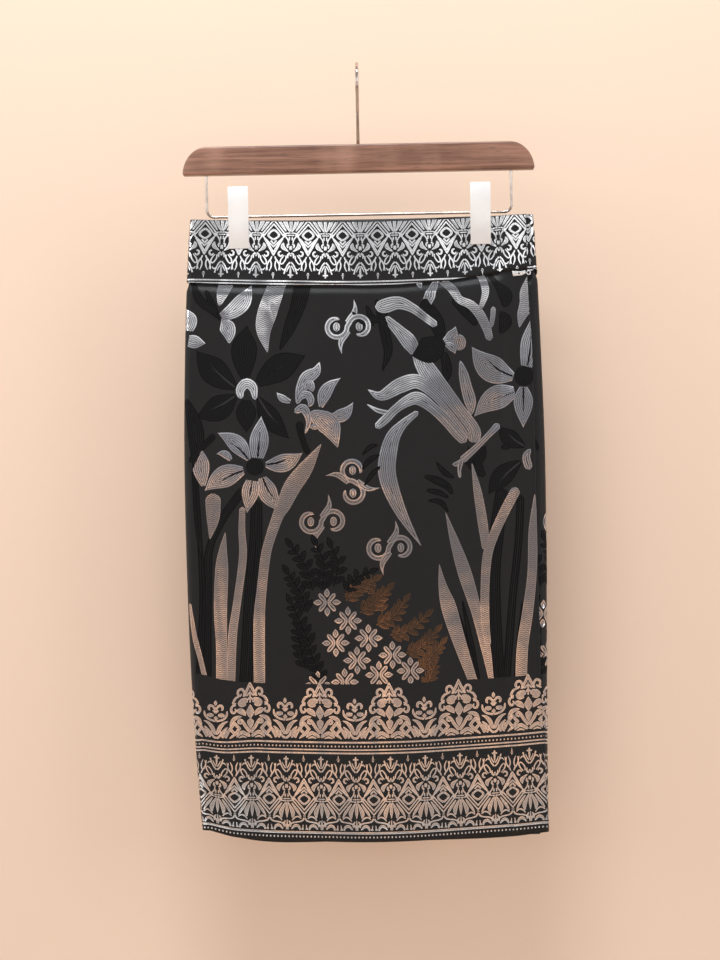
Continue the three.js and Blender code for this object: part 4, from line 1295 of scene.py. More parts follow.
# A leaf: tone, base, tip, width, bow, widest at, width at the base, midrib or not. A stroke: tone,
# points, widths. A disc: tone, centre, width, height. Places are x on the front and drop.
FIELD = [
    # black leaves and stems
    ("leaf", INK, (-129.5, 328), (-169.5, 289), 27.5, 0.05, 0.5, 0.2, 1),
    ("leaf", INK, (-130, 336), (-171.5, 357.5), 25.5, 0.06, 0.45, 0.2, 1),
    ("leaf", INK, (-119.5, 340.5), (-119.5, 374), 20.5, 0, 0.4, 0.4, 0),
    ("leaf", INK, (-106.5, 338.5), (-75.5, 381), 20.5, -0.06, 0.45, 0.2, 1),
    ("leaf", INK, (-119.5, 319), (-117, 264.5), 26.5, 0.04, 0.55, 0.3, 0),
    ("leaf", INK, (-107, 324), (-57.5, 296.5), 27.5, 0.05, 0.5, 0.3, 0),
    ("stroke", INK, [(-152, 375.5), (-164.5, 387.5), (-178.5, 402.5)], [7, 6, 5]),
    ("leaf", INK, (-181, 339), (-175.5, 411), 16.5, 0.1, 0.5, 0.3, 0),
    ("stroke", INK, [(-65.5, 363.5), (-64, 376), (-60, 388.5), (-56.5, 397)], [9, 6, 6, 6]),
    ("stroke", INK, [(-57, 213.5), (-59, 222.5), (-64.5, 245), (-74.5, 269.5), (-84, 290)], [17.5, 17.5,
     15.5, 11.5, 2]),
    ("stroke", INK, [(-175.5, 210), (-171.5, 219.5), (-165, 237), (-150.5, 249.5), (-140.5, 260)], [5, 5,
     9, 8, 3]),
    ("stroke", INK, [(-158.5, 227), (-152.5, 241.5), (-145.5, 254)], [3, 7, 2]),
    ("stroke", INK, [(-123.5, 431.5), (-136, 447.5), (-147.5, 464.5), (-158.5, 488), (-162, 518.5),
     (-165, 626), (-165.5, 635.5)], [9, 9, 9, 8, 9, 10, 10]),
    ("stroke", INK, [(-110.5, 443), (-112, 484), (-117.5, 545), (-124, 628), (-125, 637)], [11.5, 13.5,
     15.5, 15.5, 15.5]),
    ("stroke", INK, [(-169.5, 482.5), (-167.5, 544), (-172.5, 627), (-173, 636.5)], [5, 7, 8, 8]),
    ("stroke", INK, [(-173.5, 411), (-171, 462), (-168, 503)], [6, 7, 3]),
    ("stroke", INK, [(15.5, 240.5), (23, 271.5), (26.5, 294), (20, 314.5)], [4, 10, 9, 1]),
    ("stroke", INK, [(5, 246.5), (13, 261), (27.5, 253)], [3, 8, 3]),
    ("stroke", INK, [(-9.5, 252.5), (0.5, 262.5), (13, 267)], [2, 6, 3]),
    ("leaf", INK, (81, 282.5), (50, 298.5), 27.5, 0.1, 0.45, 0.4, 0),
    ("stroke", INK, [(81, 282.5), (77.5, 267.5), (68.5, 254), (64.5, 241.5)], [8, 15.5, 17.5, 8]),
    ("stroke", INK, [(93, 242), (107.5, 252.5), (117, 269)], [6, 14.5, 5]),
    ("stroke", INK, [(83, 295), (86.5, 315.5), (80, 332)], [8, 10, 1]),
    ("stroke", INK, [(131.5, 217), (138.5, 226.5), (147.5, 239), (146, 251)], [6, 6, 14.5, 5]),
    ("stroke", INK, [(142, 255), (147, 265.5), (141.5, 277.5)], [4, 13.5, 4]),
    ("leaf", INK, (164, 393), (138, 372), 17.5, 0.08, 0.5, 0.2, 1),
    ("leaf", INK, (159.5, 409), (126, 441.5), 20.5, -0.06, 0.5, 0.2, 1),
    ("leaf", INK, (102.5, 408), (125, 392), 17.5, -0.1, 0.5, 0.3, 0),
    ("leaf", INK, (122.5, 423), (106.5, 392), 14.5, 0.08, 0.5, 0.3, 0),
    ("disc", INK, (144.5, 393.5), 9, 6),
    ("stroke", INK, [(61, 421.5), (73, 426), (84.5, 432.5), (89.5, 440.5)], [3, 8, 7, 3]),
    ("stroke", INK, [(63, 436), (75, 438.5), (86, 444.5)], [3, 6, 2]),
    ("stroke", INK, [(64.5, 446.5), (77, 448.5), (85, 459)], [2, 6, 2]),
    ("stroke", INK, [(73.5, 407.5), (81.5, 418), (91.5, 424)], [2, 6, 3]),
    ("stroke", INK, [(140.5, 435.5), (134.5, 478.5), (130.5, 529.5), (132, 611.5), (135, 633), (136,
     642)], [12.5, 14.5, 12.5, 13.5, 15.5, 15.5]),
    ("stroke", INK, [(159, 443), (156, 489), (148.5, 550.5), (141, 633), (140, 642.5)], [8, 8, 8, 8, 8]),
    ("stroke", INK, [(84.5, 539), (94, 575), (104.5, 619)], [2, 9, 8]),
    ("stroke", INK, [(97.5, 549.5), (105, 590.5), (111.5, 632.5), (112.5, 642)], [2, 6, 6, 6]),
    ("stroke", INK, [(160, 550.5), (155, 591.5), (152.5, 630), (151.5, 639.5)], [4, 6, 8, 8]),
    ("stroke", INK, [(-2, 399), (6.5, 391), (14.5, 389)], [2, 5, 2]),
    ("stroke", INK, [(-2.5, 414), (6, 404), (16.5, 399)], [2, 6, 2]),
    ("stroke", INK, [(-0.5, 430.5), (8, 418.5), (17, 410.5)], [2, 5, 2]),
    # the top left spray
    ("leaf", SILVER, (-143, 255.5), (-111.5, 222.5), 17.5, -0.12, 0.5, 0.5, 0),
    ("stroke", WEFT, [(-145, 243.5), (-141, 229.5), (-134.5, 216)], [3, 12.5, 13.5]),
    ("leaf", SILVER, (-135.5, 282), (-143, 257), 16, -0.12, 0.6, 0.12, 0),
    ("leaf", SILVER, (-177.5, 268.5), (-180.5, 246), 17.5, -0.1, 0.45, 0.6, 0),
    ("leaf", SILVER, (-177, 279), (-159.5, 282), 13.5, 0.0, 0.3, 0.85, 0),
    ("stroke", WEFT, [(-81, 204), (-83.5, 213), (-88, 229.5), (-96.5, 253.5), (-100, 271), (-96.5,
     292.5)], [18.5, 18.5, 18.5, 19.5, 14.5, 1]),
    # crescent of the black flower
    ("stroke", SILVER, [(-124.5, 339), (-125, 330), (-119, 323.5), (-112, 328), (-110, 340.5)], [5, 9,
     10, 9, 4]),
    # silver bud
    ("stroke", SILVER, [(-67.5, 343.5), (-64.5, 331), (-57, 319.5), (-47.5, 313), (-43.5, 303.5)], [3, 8,
     13.5, 10, 1]),
    ("stroke", SILVER, [(-62, 333), (-55, 325), (-50.5, 333)], [3, 10, 4]),
    ("leaf", SILVER, (-43, 349.5), (-22, 320), 13.5, 0.14, 0.4, 0.3, 0),
    ("leaf", SILVER, (-34.5, 360), (-10, 345), 13.5, -0.18, 0.4, 0.3, 0),
    ("stroke", SILVER, [(-53.5, 354), (-45.5, 360), (-34, 369.5), (-26.5, 391)], [5, 17.5, 21.5, 1]),
    ("stroke", SILVER, [(-54.5, 370), (-46.5, 368.5)], [3, 10]),
    ("leaf", SILVER, (-74, 343), (-88, 333.5), 7.5, 0.1, 0.5, 0.5, 0),
    ("stroke", SILVER, [(-67.5, 345.5), (-63.5, 338), (-56, 336.5), (-53, 343.5), (-55.5, 348.5)], [4, 7,
     8, 7, 3]),
    ("stroke", SILVER, [(-70, 354), (-61.5, 350), (-56.5, 358), (-56, 366), (-59.5, 376)], [5, 9, 7, 5, 2]),
    # silver flower with a black heart
    ("leaf", SILVER, (-117.5, 401.5), (-149, 373.5), 17.5, -0.1, 0.45, 0.25, 1),
    ("leaf", SILVER, (-108.5, 400), (-104, 357.5), 19.5, 0, 0.4, 0.6, 1),
    ("leaf", SILVER, (-100.5, 407), (-62.5, 395.5), 18.5, -0.1, 0.45, 0.3, 1),
    ("leaf", SILVER, (-123, 412.5), (-163.5, 432.5), 22.5, -0.08, 0.42, 0.35, 1),
    ("leaf", SILVER, (-114.5, 423), (-120.5, 456), 17.5, 0, 0.3, 0.7, 1),
    ("leaf", SILVER, (-104, 420), (-84, 455.5), 19.5, -0.08, 0.35, 0.4, 1),
    ("leaf", SILVER, (-136, 401.5), (-150.5, 395), 8, -0.2, 0.45, 0.5, 0),
    ("disc", INK, (-111.5, 409), 17.5, 17.5),
    # left leaves
    ("leaf", SILVER, (-164.5, 427.5), (-166.5, 388.5), 17.5, 0.03, 0.55, 0.25, 0),
    ("stroke", WEFT, [(-43.5, 387), (-59.5, 411), (-73.5, 429.5), (-83, 448.5), (-89, 459.5), (-98, 484),
     (-102.5, 501.5), (-107, 535), (-110, 566), (-111, 629), (-111, 638)], [1, 14.5, 17.5, 14.5, 11.5,
     10, 10, 10, 11.5, 11.5, 11.5]),
    ("stroke", WEFT, [(-155, 435.5), (-155, 447), (-155.5, 462.5), (-159, 482)], [15.5, 15.5, 12.5, 1]),
    ("stroke", WEFT, [(-143, 475), (-146, 495.5), (-147.5, 515), (-149.5, 555), (-149, 590.5), (-149.5,
     627), (-149.5, 636)], [1, 9, 13.5, 13.5, 11.5, 11.5, 11.5]),
    ("stroke", WEFT, [(-125, 449.5), (-126, 473.5), (-125.5, 501), (-132, 545), (-137.5, 580.5), (-140,
     627.5), (-140.5, 637)], [6, 7, 8, 8, 9, 8.5, 8.5]),
    ("stroke", WEFT, [(-181, 547), (-176.5, 580), (-171, 603.5), (-166, 626.5), (-164.5, 636)], [3, 5, 5,
     5, 5]),
    # right spray: curled petal head and long crossing leaves
    ("stroke", SILVER, [(14.5, 248.5), (23.5, 247.5), (38, 244.5), (52, 250), (64, 259), (76.5, 268.5)],
     [8, 14.5, 13, 9.5, 8, 7.5]),
    ("stroke", SILVER, [(24, 259), (37.5, 272.5), (48.5, 285), (56, 298.5)], [7, 11.5, 15.5, 8]),
    ("stroke", SILVER, [(52.5, 292.5), (63, 309), (79, 333), (95, 354.5), (112, 377.5), (109, 387.5)],
     [6, 17.5, 19.5, 17.5, 15.5, 12.5]),
    ("stroke", SILVER, [(5, 332.5), (18.5, 339), (38, 329), (55.5, 325), (73, 336), (88, 352.5), (101,
     369), (109, 381.5)], [1, 10, 15.5, 14.5, 13.5, 12.5, 12.5, 12.5]),
    ("stroke", SILVER, [(4, 347.5), (15, 354), (29.5, 357.5)], [1, 4.5, 5]),
    ("stroke", SILVER, [(12.5, 371.5), (22, 363.5), (33.5, 352.5), (46, 344.5), (56.5, 342.5), (70.5,
     352), (84.5, 365.5), (96.5, 379.5), (104.5, 387.5)], [7, 9, 9, 11.5, 13.5, 11, 11, 11, 10]),
    ("stroke", SILVER, [(56, 356), (40.5, 368), (30, 381), (24.5, 399.5), (23, 417), (28, 437.5), (39.5,
     464), (56.5, 493)], [5, 9, 14.5, 17.5, 18, 16, 10, 0.5]),
    ("stroke", SILVER, [(100, 304.5), (103, 318), (106, 332.5), (109.5, 346.5), (110.5, 360)], [2, 9.5,
     11.5, 12, 3]),
    ("stroke", SILVER, [(138.5, 370), (127.5, 381), (113, 395), (99, 407)], [8, 6, 6.5, 8]),
    ("stroke", SILVER, [(101.5, 406), (94, 410), (90, 410)], [5, 5, 3]),
    ("stroke", SILVER, [(99, 406), (97, 416), (97.5, 424.5)], [6, 4, 3]),
    # right top cluster
    ("leaf", SILVER, (77.5, 222), (63, 241), 9, 0.1, 0.6, 0.5, 0),
    ("leaf", SILVER, (76, 223), (71.5, 247), 9, -0.08, 0.6, 0.4, 0),
    ("stroke", SILVER, [(57, 214.5), (59.5, 224), (61.5, 230)], [6, 6, 3]),
    ("stroke", WEFT, [(72.5, 212), (82.5, 221.5), (93.5, 231.5), (100.5, 242), (111.5, 247.5), (120.5,
     257), (127.5, 271.5), (131, 284.5)], [8, 8, 9, 8, 9, 10, 9, 7]),
    ("stroke", WEFT, [(118.5, 207.5), (122.5, 217), (126, 226), (127, 236.5), (121.5, 252.5)], [7, 7,
     7.5, 7, 4]),
    ("stroke", WEFT, [(135, 250), (134, 261), (132, 271.5)], [5, 5, 4]),
    ("leaf", SILVER, (84, 284.5), (96, 269.5), 11, -0.14, 0.5, 0.5, 0),
    ("disc", SILVER, (99.5, 286), 13.5, 16.5),
    ("leaf", SILVER, (85.5, 287.5), (95, 297.5), 8.5, 0.18, 0.5, 0.5, 0),
    # right flower with a black heart
    ("leaf", SILVER, (154, 322), (112, 290.5), 27.5, 0.12, 0.42, 0.3, 1),
    ("leaf", SILVER, (168.5, 312), (174.5, 260), 22.5, -0.04, 0.42, 0.6, 1),
    ("leaf", SILVER, (155, 337.5), (113, 362), 24.5, -0.1, 0.35, 0.45, 1),
    ("leaf", SILVER, (164, 332.5), (163, 374.5), 19.5, 0, 0.35, 0.4, 1),
    ("disc", INK, (165, 321.5), 19.5, 20.5),
    ("stroke", WEFT, [(170.5, 220), (167, 235), (169, 247.5), (164, 259.5), (161, 272)], [1, 9, 14.5, 10,
     1]),
    ("stroke", SILVER, [(170, 396), (165.5, 404), (168.5, 417)], [3, 8, 8]),
    # right leaves
    ("stroke", WEFT, [(74.5, 511.5), (77.5, 533.5), (83.5, 556), (92.5, 588), (106, 629.5), (109.5,
     638.5)], [0.5, 8.5, 15.5, 13.5, 9.5, 9.5]),
    ("stroke", WEFT, [(82, 459), (90.5, 488.5), (100.5, 521.5), (111.5, 560), (120, 596), (125, 628),
     (126.5, 637.5)], [0.5, 9, 14, 11, 10, 5.5, 5.5]),
    ("stroke", WEFT, [(110, 409.5), (115, 437), (119.5, 468), (123, 498.5)], [1, 8, 10, 8]),
    ("stroke", WEFT, [(155.5, 435.5), (142, 460), (130.5, 484.5), (124, 504.5), (121, 534.5), (120.5,
     570), (123, 596)], [10, 10, 9.5, 9.5, 9, 8.5, 6]),
    ("stroke", WEFT, [(173.5, 442), (171, 478), (169, 523), (164, 561), (158, 596.5), (156, 627.5),
     (155.5, 637)], [1, 9, 9.5, 11, 11.5, 11.5, 11.5]),
    # fern arch, black
]
# Stars of eight petals: centre and size
STARS = [(-40.5, 548.5, 14.4), (-19.5, 567.5, 14.4), (-32.5, 590, 14.4), (-11, 608, 14.4), (-24, 630,
    14.4), (1, 585.5, 14.4), (25, 603, 14.4), (11, 623, 14.4), (43, 619.5, 14.4), (-51.5, 632.5, 14.4)]
# Curled sprigs: centre, direction in degrees
SPRIGS = [(-14, 268, 0), (-12, 426, 90), (-44, 466, 0), (24, 494, 0)]
# Fern fronds: tone, path, leaflets, leaflet length at the middle
FERNS = [
    (INK, [(-47.5, 630.5), (-55, 608), (-63, 587)], 5, 13.1),
    (INK, [(-63.5, 616), (-68.5, 595.5), (-72, 574.5)], 5, 12.5),
    (INK, [(-58, 592.5), (-68, 568.5), (-76.5, 550)], 5, 13.1),
    (INK, [(-60.5, 558.5), (-68, 538), (-79, 519.5)], 5, 13.1),
    (INK, [(-55, 536), (-61.5, 511.5), (-74.5, 492.5)], 5, 13.6),
    (INK, [(-45.5, 536.5), (-43, 509.5), (-50, 491)], 5, 13.6),
    (INK, [(-33.5, 532.5), (-28.5, 510), (-34.5, 493.5)], 4, 13.1),
    (INK, [(-22, 539), (-10.5, 524.5), (2, 519)], 4, 11.9),
    (BRONZE, [(-21.5, 547), (-8.5, 535), (6, 527)], 5, 12.5),
    (BRONZE, [(-7, 559.5), (7.5, 549.5), (20, 537.5)], 5, 12.5),
    (BRONZE, [(9, 572), (25.5, 564.5), (37, 550)], 5, 12.5),
    (BRONZE, [(23, 582.5), (41.5, 579), (58.5, 565)], 5, 12.5),
    (BRONZE, [(39, 601.5), (54.5, 595.5), (68, 581.5)], 5, 12.5),
    (BRONZE, [(53, 618), (63.5, 606), (74, 594)], 5, 11.9),
    (BRONZE, [(57, 636.5), (63, 626.5), (67.5, 614.5)], 4, 10.6),
    (BRONZE, [(15.5, 560), (13.5, 545.5), (3.5, 535)], 4, 9.5),
]


def star(drawing, x, drop, size):
    """Four pointed petals, and between them two bent bars back to back."""
    centre = np.array([x, drop])
    for ahead in np.array([(1, 0), (0, 1), (-1, 0), (0, -1)]):
        drawing.leaf(centre + ahead * size * 0.36, centre + ahead * size, size * 0.42, at=0.45, foot=0.1)
    for side in (-1, 1):
        bar = np.array([(0.58, -0.62), (0.38, -0.38), (0.17, -0.11)])
        bar = np.vstack([bar, bar[::-1] * (1, -1)])
        width = np.array([0.22, 0.31, 0.26, 0.26, 0.31, 0.22])
        drawing.ribbon(centre + bar * (side, 1) * size, width * size, step=1.4)


def sprig(drawing, x, drop, degrees):
    """A plain double curl with a bead in each curl and a leaf on each side."""
    angle = math.radians(degrees)
    ahead = np.array([math.cos(angle), math.sin(angle)])
    side = np.array([-ahead[1], ahead[0]])
    apart, wide, sweep, broad, tapers_from = 11.4, 10.6, math.radians(292), 5.0, 0.8
    line, width = [], []
    for t in np.linspace(-1, 1, 31):
        sense = 1 if t > 0 else -1
        swing = sweep * abs(t)
        radius = wide * (1 - 0.24 * abs(t) ** 2)
        line.append((sense * (apart - radius * math.cos(swing)), sense * -radius * math.sin(swing)))
        width.append(broad if abs(t) < tapers_from else broad - 14 * (abs(t) - tapers_from))
    centre = np.array([x, drop])
    drawing.ribbon([centre + ahead * a + side * b for a, b in line], width)
    for sense in (-1, 1):
        bead_at = centre + ahead * sense * 11.6
        drawing.disc(bead_at[0], bead_at[1], 7.0, 9.6)
        base = centre + side * sense * 5.0 + ahead * sense * 1.5
        drawing.leaf(base, base + side * sense * 23 + ahead * sense * -8, 6.4, bow=-0.2, at=0.3, foot=0.5)


def fern(drawing, tone, points, leaflets, length):
    """A frond: paired leaflets along a path, shorter towards its tip."""
    path = smooth_line(points, 1.0)
    way = np.gradient(path, axis=0)
    way /= np.linalg.norm(way, axis=1, keepdims=True)
    drawing.ribbon(points, 1.5, tone)
    for k in range(leaflets):
        at = int((k + 0.3) / leaflets * (len(path) - 1))
        reach = length * (1.0 - 0.4 * (k / leaflets) ** 2)
        for lean in (-1, 1):
            side = lean * np.array([-way[at][1], way[at][0]])
            direction = side * 0.74 + way[at] * 0.67
            tip = path[at] + direction * reach
            drawing.leaf(path[at] + direction, tip, reach * 0.52, tone, bow=0.10 * lean, at=0.55, foot=0.5)
    drawing.leaf(path[-1], path[-1] + way[-1] * length, length * 0.5, tone)


def field():
    """The flowers and leaves of the field on the front."""
    drawing = Drawing()
    for kind, tone, *rest in FIELD:
        over = kind == "disc" and tone == INK
        drawing.level = 1.2 if over else 0 if tone in (INK, BRONZE) else 0.4
        if kind == "leaf":
            base, tip, width, bow, at, foot, rib = rest
            drawing.leaf(base, tip, width, tone, bow, at, foot)
            if rib:
                base, tip = np.array(base), np.array(tip)
                drawing.level += 1.2
                drawing.leaf(base + (tip - base) * 0.02, base + (tip - base) * 0.68, 1.9,
                             RIB if tone == SILVER else FAINT, bow * 0.68, 0.2, 0.8)
        elif kind == "stroke":
            drawing.ribbon(rest[0], rest[1], tone, step=2.2)
        else:
            drawing.disc(rest[0][0], rest[0][1], rest[1], rest[2], tone, parts=12)
    drawing.level = 0
    for x, drop, size in STARS:
        star(drawing, x, drop, size)
    for x, drop, degrees in SPRIGS:
        sprig(drawing, x, drop, degrees)
    for tone, points, leaflets, length in FERNS:
        fern(drawing, tone, points, leaflets, length)
    return drawing

# ------------------------------------------------------------------ weaving it into the cloth

FIELD_FOOT = 160.5  # the field ends this far above the hem, and the border is below it
FIELD_REPEAT = 362  # from one field to the next round the cloth
FRONT_WAYS, BACK_WAYS = (-215, 215), (-610, -180)
HEM_PHASE, BAND_PHASE = 3.2, -17.7  # where a lozenge of each border stands
BORDER_DROP, BAND_DROP = 740.0, 190.0  # about where each border lies
HEM_TURNED = 2.4  # the border's dots stand this far above the hem
BAND_CUTS = {False: 26.3, True: 34.0}  # how much of the band's border is above its top, by behind
BACK_TURN = 4  # added to a turn on the back piece


def turn_on(way, drop, behind):
    return turn_along(way, drop) + (BACK_TURN if behind else 0)


def lay_border(behind):
    def at(way, height):
        turn = turn_on(way, BORDER_DROP, behind)
        shown = height + HEM_TURNED
        if not behind:  # the border is a little lower towards the left fold
            leftward = smoothstep(-way, 110, 182)
            shown = shown * (1 - 0.075 * leftward) - 1.6 * leftward
        for _ in range(2):
            drop = edge_at(turn, HEM, behind) - shown
            turn = turn_on(way, drop, behind)
        return turn, edge_at(turn, HEM, behind) - shown
    return at


def lay_field(behind):
    def at(way, drop):
        return turn_on(way, drop, behind), drop
    return at


def lay_band(behind):
    def at(way, height):
        turn = turn_on(way, BAND_DROP, behind)
        return turn, edge_at(turn, TOP, behind) + height - BAND_CUTS[behind]
    return at


def skirt_limits(behind, field_only):
    def limits(turn):
        low = edge_at(turn, FOOT, behind) + 0.2
        high = edge_at(turn, HEM, behind) - (FIELD_FOOT if field_only else 0.4)
        return low, high
    return limits


def band_limits(behind):
    def limits(turn):
        return edge_at(turn, TOP, behind) + 0.3, edge_at(turn, FOOT, behind) - 0.3
    return limits


def back_field():
    """The same field twice round the back, where the cloth goes on. At its right fold it is
    plain down to a curl and a few stars, which sit lower than those in front."""
    drawing = Drawing()
    near_fold, plain = -156 - FIELD_REPEAT, (-62, -2)
    drawing.stamp(field().without_bright(*plain), near_fold)
    drawing.stamp(field(), near_fold + FIELD_REPEAT)
    sprig(drawing, -548, 470, 0)
    for x, drop, size in STARS:
        if plain[0] < x < plain[1]:
            star(drawing, x - 529, drop + 16, size)
    return drawing


def woven_piece(name, drawing, cloth, at, limits, *finishes):
    piece = weave_in(name, drawing, cloth, at, limits)
    give(piece, *finishes)
    return piece


FIELD_FINISHES = (CONTOUR_SILVER, WEFT_SILVER, INK_THREAD, RIB_BLACK, FAINT_THREAD, BRONZE_THREAD)
woven, with_cloth = [], {}
for side, behind, skirt, band, ways in (("front", False, SKIRT_FRONT, BAND_FRONT, FRONT_WAYS),
                                        ("back", True, SKIRT_BACK, BAND_BACK, BACK_WAYS)):
    drawn = back_field() if behind else field()
    figures = woven_piece(f"field_{side}", drawn, skirt, lay_field(behind),
                          skirt_limits(behind, True), *FIELD_FINISHES)
    hem = woven_piece(f"hem_border_{side}", hem_border(*ways, HEM_PHASE), skirt,
                      lay_border(behind), skirt_limits(behind, False), BORDER_SILVER)
    waist = woven_piece(f"waist_border_{side}", waist_border(*ways, BAND_PHASE, behind), band,
                        lay_band(behind), band_limits(behind), BORDER_SILVER)
    woven += [(figures, "skirt_cloth"), (hem, "skirt_cloth"), (waist, "band_cloth")]
    with_cloth["skirt", side], with_cloth["band", side] = [figures, hem], [waist]

# ------------------------------------------------------------------ sewing


def sewn(name, cloth, turn, drop, lift=0.12, pitch=0.003, stitch=0.0021, thread=0.00022):
    """A row of stitches along a line on a piece of cloth."""
    points = cloth.place(turn, drop, lift)
    edges = [(i, i + 1) for i in range(len(points) - 1)]
    row = mesh_object(name, points, [], edges=edges)
    return grow(row, STITCHES, Pitch=pitch, Stitch=stitch, Thread=thread, Finish=SEWING)


def band_foot_row(name, cloth, behind):
    turns = cloth_turns(cloth, 300)
    return sewn(name, cloth, turns, edge_at(turns, FOOT, behind) - 1.6)


def free_edge_row():
    """Stitches that hold the turned-in free edge of the front."""
    drops = np.linspace(232.0, 785.0, 150)
    turned_in = 3.0 / (2 * HALF_WAIST)
    return sewn("free_edge_stitches", SKIRT_FRONT, SKIRT_FRONT.end(drops) - turned_in, drops)


def hook_tack():
    """A short bar of stitches beside the waist hook."""
    x = np.linspace(177.0, 181.4, 12)
    drop = np.full(12, 213.6)
    return sewn("hook_tack_upper", BAND_BACK, turn_at(x, drop) + BACK_TURN, drop, 0.35,
                0.0016, 0.0012, 0.00028)


for row, cloth, side in ((band_foot_row("band_stitches_front", BAND_FRONT, False), "band", "front"),
                         (band_foot_row("band_stitches_back", BAND_BACK, True), "band", "back"),
                         (free_edge_row(), "skirt", "front"), (hook_tack(), "band", "back")):
    woven.append((row, cloth + "_cloth"))
    with_cloth[cloth, side].append(row)

# ------------------------------------------------------------------ stage, light and camera


def plain_paint(name, color, rough):
    material, build, shader = finish(name, Roughness=rough)
    mottled = build.noise(place(build), 3.0, 2.0)
    darker = tuple(0.97 * v for v in color) + (1,)
    build.join(build.blend(mottled, color + (1,), darker), shader.inputs["Base Color"])
    return material


def open_behind(material):
    """Only the front of the paper is there, so the samping also shows from behind it."""
    build = Build(material.node_tree)
    mixed = build.node("ShaderNodeMixShader")
    build.join(build.node("ShaderNodeNewGeometry").outputs["Backfacing"], mixed.inputs[0])
    build.join(material.node_tree.nodes["Principled BSDF"].outputs[0], mixed.inputs[1])
    build.join(build.node("ShaderNodeBsdfTransparent").outputs[0], mixed.inputs[2])
    build.join(mixed.outputs[0], material.node_tree.nodes["Material Output"].inputs["Surface"])
    return material


def backdrop():
    """A wall close behind the samping that runs down into a floor in one sweep."""
    wall, floor, bend = 120, -2100, 400
    profile = [(y, floor) for y in (-2600, *np.linspace(-2000, -300, 6))]
    profile += [(wall - bend + bend * math.sin(a), floor + bend * (1 - math.cos(a)))
                for a in np.linspace(0.1, math.pi / 2, 14)]
    profile += [(wall, z) for z in np.linspace(-1600, 1600, 10)]
    xs = np.linspace(-3000, 3000, 13)
    points = [(x, y, z) for x in xs for y, z in profile]
    n = len(profile)
    faces = [(i * n + j, (i + 1) * n + j, (i + 1) * n + j + 1, i * n + j + 1)
             for i in range(len(xs) - 1) for j in range(n - 1)]
    sweep = mesh_object("backdrop", points, faces)
    give(sweep, open_behind(plain_paint("peach_paper", (0.88, 0.685, 0.54), 0.9)))
    sweep.visible_shadow = False  # the light behind it reaches the back of the samping


def soft_light(name, place_at, aim, size, power, color):
    light = bpy.data.lights.new(name, "AREA")
    light.shape, light.size, light.size_y = "RECTANGLE", size[0], size[1]
    light.energy, light.color = power, color
    lamp = bpy.data.objects.new(name, light)
    lamp.location = place_at
    lamp.rotation_euler = (Vector(aim) - Vector(place_at)).to_track_quat("-Z", "Y").to_euler()
    bpy.context.scene.collection.objects.link(lamp)


# The room by height, in degrees above level
ROOM = [
    (-40, (0.50, 0.36, 0.27)), (-17, (0.60, 0.44, 0.34)), (-14.4, (1.25, 1.20, 1.14)),
    (-10.8, (1.25, 1.20, 1.14)), (-9.6, (0.60, 0.50, 0.43)), (-7.8, (0.50, 0.36, 0.28)),
    (-6.6, (1.30, 0.78, 0.50)), (-5.6, (0.70, 0.42, 0.28)), (-4.6, (0.85, 0.51, 0.34)),
    (-3.9, (1.45, 0.87, 0.57)), (-3.2, (1.40, 0.84, 0.55)), (-2.7, (0.80, 0.51, 0.37)),
    (-2.1, (0.38, 0.28, 0.235)), (-1.2, (0.28, 0.23, 0.21)), (-0.8, (0.38, 0.29, 0.25)),
    (-0.3, (0.22, 0.19, 0.18)), (0.1, (0.40, 0.28, 0.215)), (0.35, (1.35, 0.80, 0.50)),
    (0.85, (1.75, 1.03, 0.66)), (1.0, (0.28, 0.295, 0.34)), (2.6, (0.25, 0.27, 0.31)),
    (3.5, (0.36, 0.375, 0.41)), (4.3, (0.60, 0.605, 0.63)), (5.2, (0.98, 0.98, 0.98)),
    (6.3, (1.25, 1.24, 1.23)), (8.4, (1.60, 1.59, 1.59)), (14, (1.38, 1.40, 1.42)),
    (18, (0.44, 0.45, 0.47)),
]


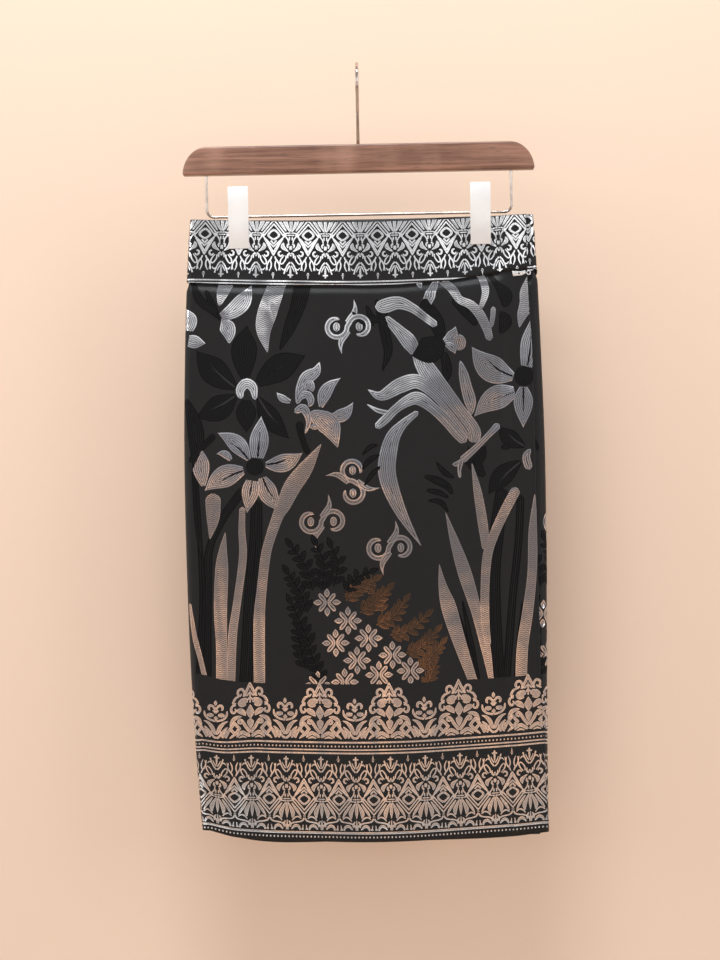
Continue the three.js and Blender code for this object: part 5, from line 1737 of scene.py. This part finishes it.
def room_light():
    """A dim room in bands of height, with cooler stretches here and there round it."""
    world = bpy.data.worlds.new("room")
    bpy.context.scene.world = world
    world.use_nodes = True
    build = Build(world.node_tree)
    background = world.node_tree.nodes["Background"]
    way = build.node("ShaderNodeTexCoord").outputs["Generated"]
    split = build.node("ShaderNodeSeparateXYZ")
    build.join(way, split.inputs[0])
    ramp = build.node("ShaderNodeValToRGB")
    build.join(build.math("ADD", build.math("MULTIPLY", split.outputs["Z"], 0.5), 0.5),
               ramp.inputs["Fac"])
    stops = ramp.color_ramp.elements
    stops[0].position, stops[0].color = 0.0, (0.50, 0.33, 0.24, 1)
    stops[1].position, stops[1].color = 1.0, (0.40, 0.42, 0.45, 1)
    for degrees, color in ROOM:
        stop = stops.new(0.5 + 0.5 * math.sin(math.radians(degrees)))
        stop.color = (*color, 1)
    stretch = build.node("ShaderNodeMapping", vector_type="POINT")
    build.join(way, stretch.inputs["Vector"])
    stretch.inputs["Scale"].default_value = (11.0, 2.0, 5.0)
    cool = build.ramp(build.noise(stretch.outputs[0], 1.0, 1.0), 0.45, 0.62)
    cooler = build.blend(build.math("MULTIPLY", cool, 0.55), ramp.outputs["Color"],
                         (0.24, 0.245, 0.26, 1))
    # A post between two windows darkens what the middle of the waistband mirrors
    from_post = build.math("ABSOLUTE", build.math("SUBTRACT", split.outputs["X"], 0.004))
    post = build.math("MULTIPLY", build.math("SUBTRACT", 1.0, build.ramp(from_post, 0.018, 0.045)),
                      build.ramp(split.outputs["Z"], 0.108, 0.122))
    cooler = build.blend(build.math("MULTIPLY", post, 0.80), cooler, (0.34, 0.34, 0.35, 1))
    # The room is cooler to the right, most of all near level
    near_level = build.math("MULTIPLY", build.ramp(split.outputs["Z"], -0.075, -0.055),
                            build.math("SUBTRACT", 1.0, build.ramp(split.outputs["Z"], 0.045, 0.065)))
    right_side = build.math("MULTIPLY", build.ramp(split.outputs["X"], 0.030, 0.065),
                            build.math("ADD", build.math("MULTIPLY", near_level, 0.45), 0.15))
    cooler = build.blend(right_side, cooler, (0.24, 0.235, 0.24, 1))
    # Seen straight on it is one plain colour
    straight = build.node("ShaderNodeLightPath").outputs["Is Camera Ray"]
    build.join(build.blend(straight, cooler, (0.80, 0.70, 0.60, 1)), background.inputs["Color"])
    background.inputs["Strength"].default_value = 1.0


def camera():
    lens = bpy.data.cameras.new("camera")
    sensor, away, seen_high, roll = 36.0, 2200.0, 983.0, -1.1
    lens.sensor_fit, lens.sensor_height = "VERTICAL", sensor
    lens.lens = sensor * away / seen_high
    lens.clip_start, lens.clip_end = 0.05, 20.0
    viewer = bpy.data.objects.new("camera", lens)
    level = Matrix.Rotation(math.pi / 2, 4, "X") @ Matrix.Rotation(math.radians(roll), 4, "Z")
    viewer.matrix_world = Matrix.Translation((-0.0046, -away * MM, -0.4244)) @ level
    bpy.context.scene.collection.objects.link(viewer)
    bpy.context.scene.camera = viewer


bpy.context.scene.view_settings.view_transform = "Standard"
backdrop()
room_light()
soft_light("overhead", (-0.15, -0.9, 1.5), (0, 0, -0.5), (0.8, 0.5), 28, (0.97, 0.985, 1.0))
soft_light("left_window", (-2.4, -1.2, 0.2), (0, 0, -0.4), (0.9, 1.8), 14, (0.98, 0.98, 1.0))
soft_light("right_window", (2.2, -1.6, 0.2), (0, 0, -0.4), (0.9, 1.8), 12, (0.98, 0.98, 1.0))
soft_light("behind", (0.5, 2.4, 1.2), (0, 0, -0.4), (1.6, 1.6), 34, (1.0, 0.98, 0.96))
soft_light("wall_wash", (0.1, -1.3, 1.9), (0.0, 0.1, 0.2), (2.6, 0.7), 11, (0.90, 0.95, 1.0))
camera()

# ------------------------------------------------------------------ joining it to the part

HARD_SLOTS = {"hanger_bar": "wood", "hanger_hook": "wire", "hanger_wire": "wire",
              "waist_hook": "fastener", "waist_bar": "fastener"}
stands_for = [(piece, node, HARD_SLOTS.get(node, "clip")) for node, piece in hard_pieces.items()]
stands_for += [(skirt_front, "front_panel", "skirt_cloth"), (skirt_back, "back_panel", "skirt_cloth"),
               (band_front, "waistband_front", "band_cloth"), (band_back, "waistband_back", "band_cloth")]
for piece, node, slot in stands_for:
    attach(piece, "root")
    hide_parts(node)
for piece, slot in woven:
    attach(piece, "root")
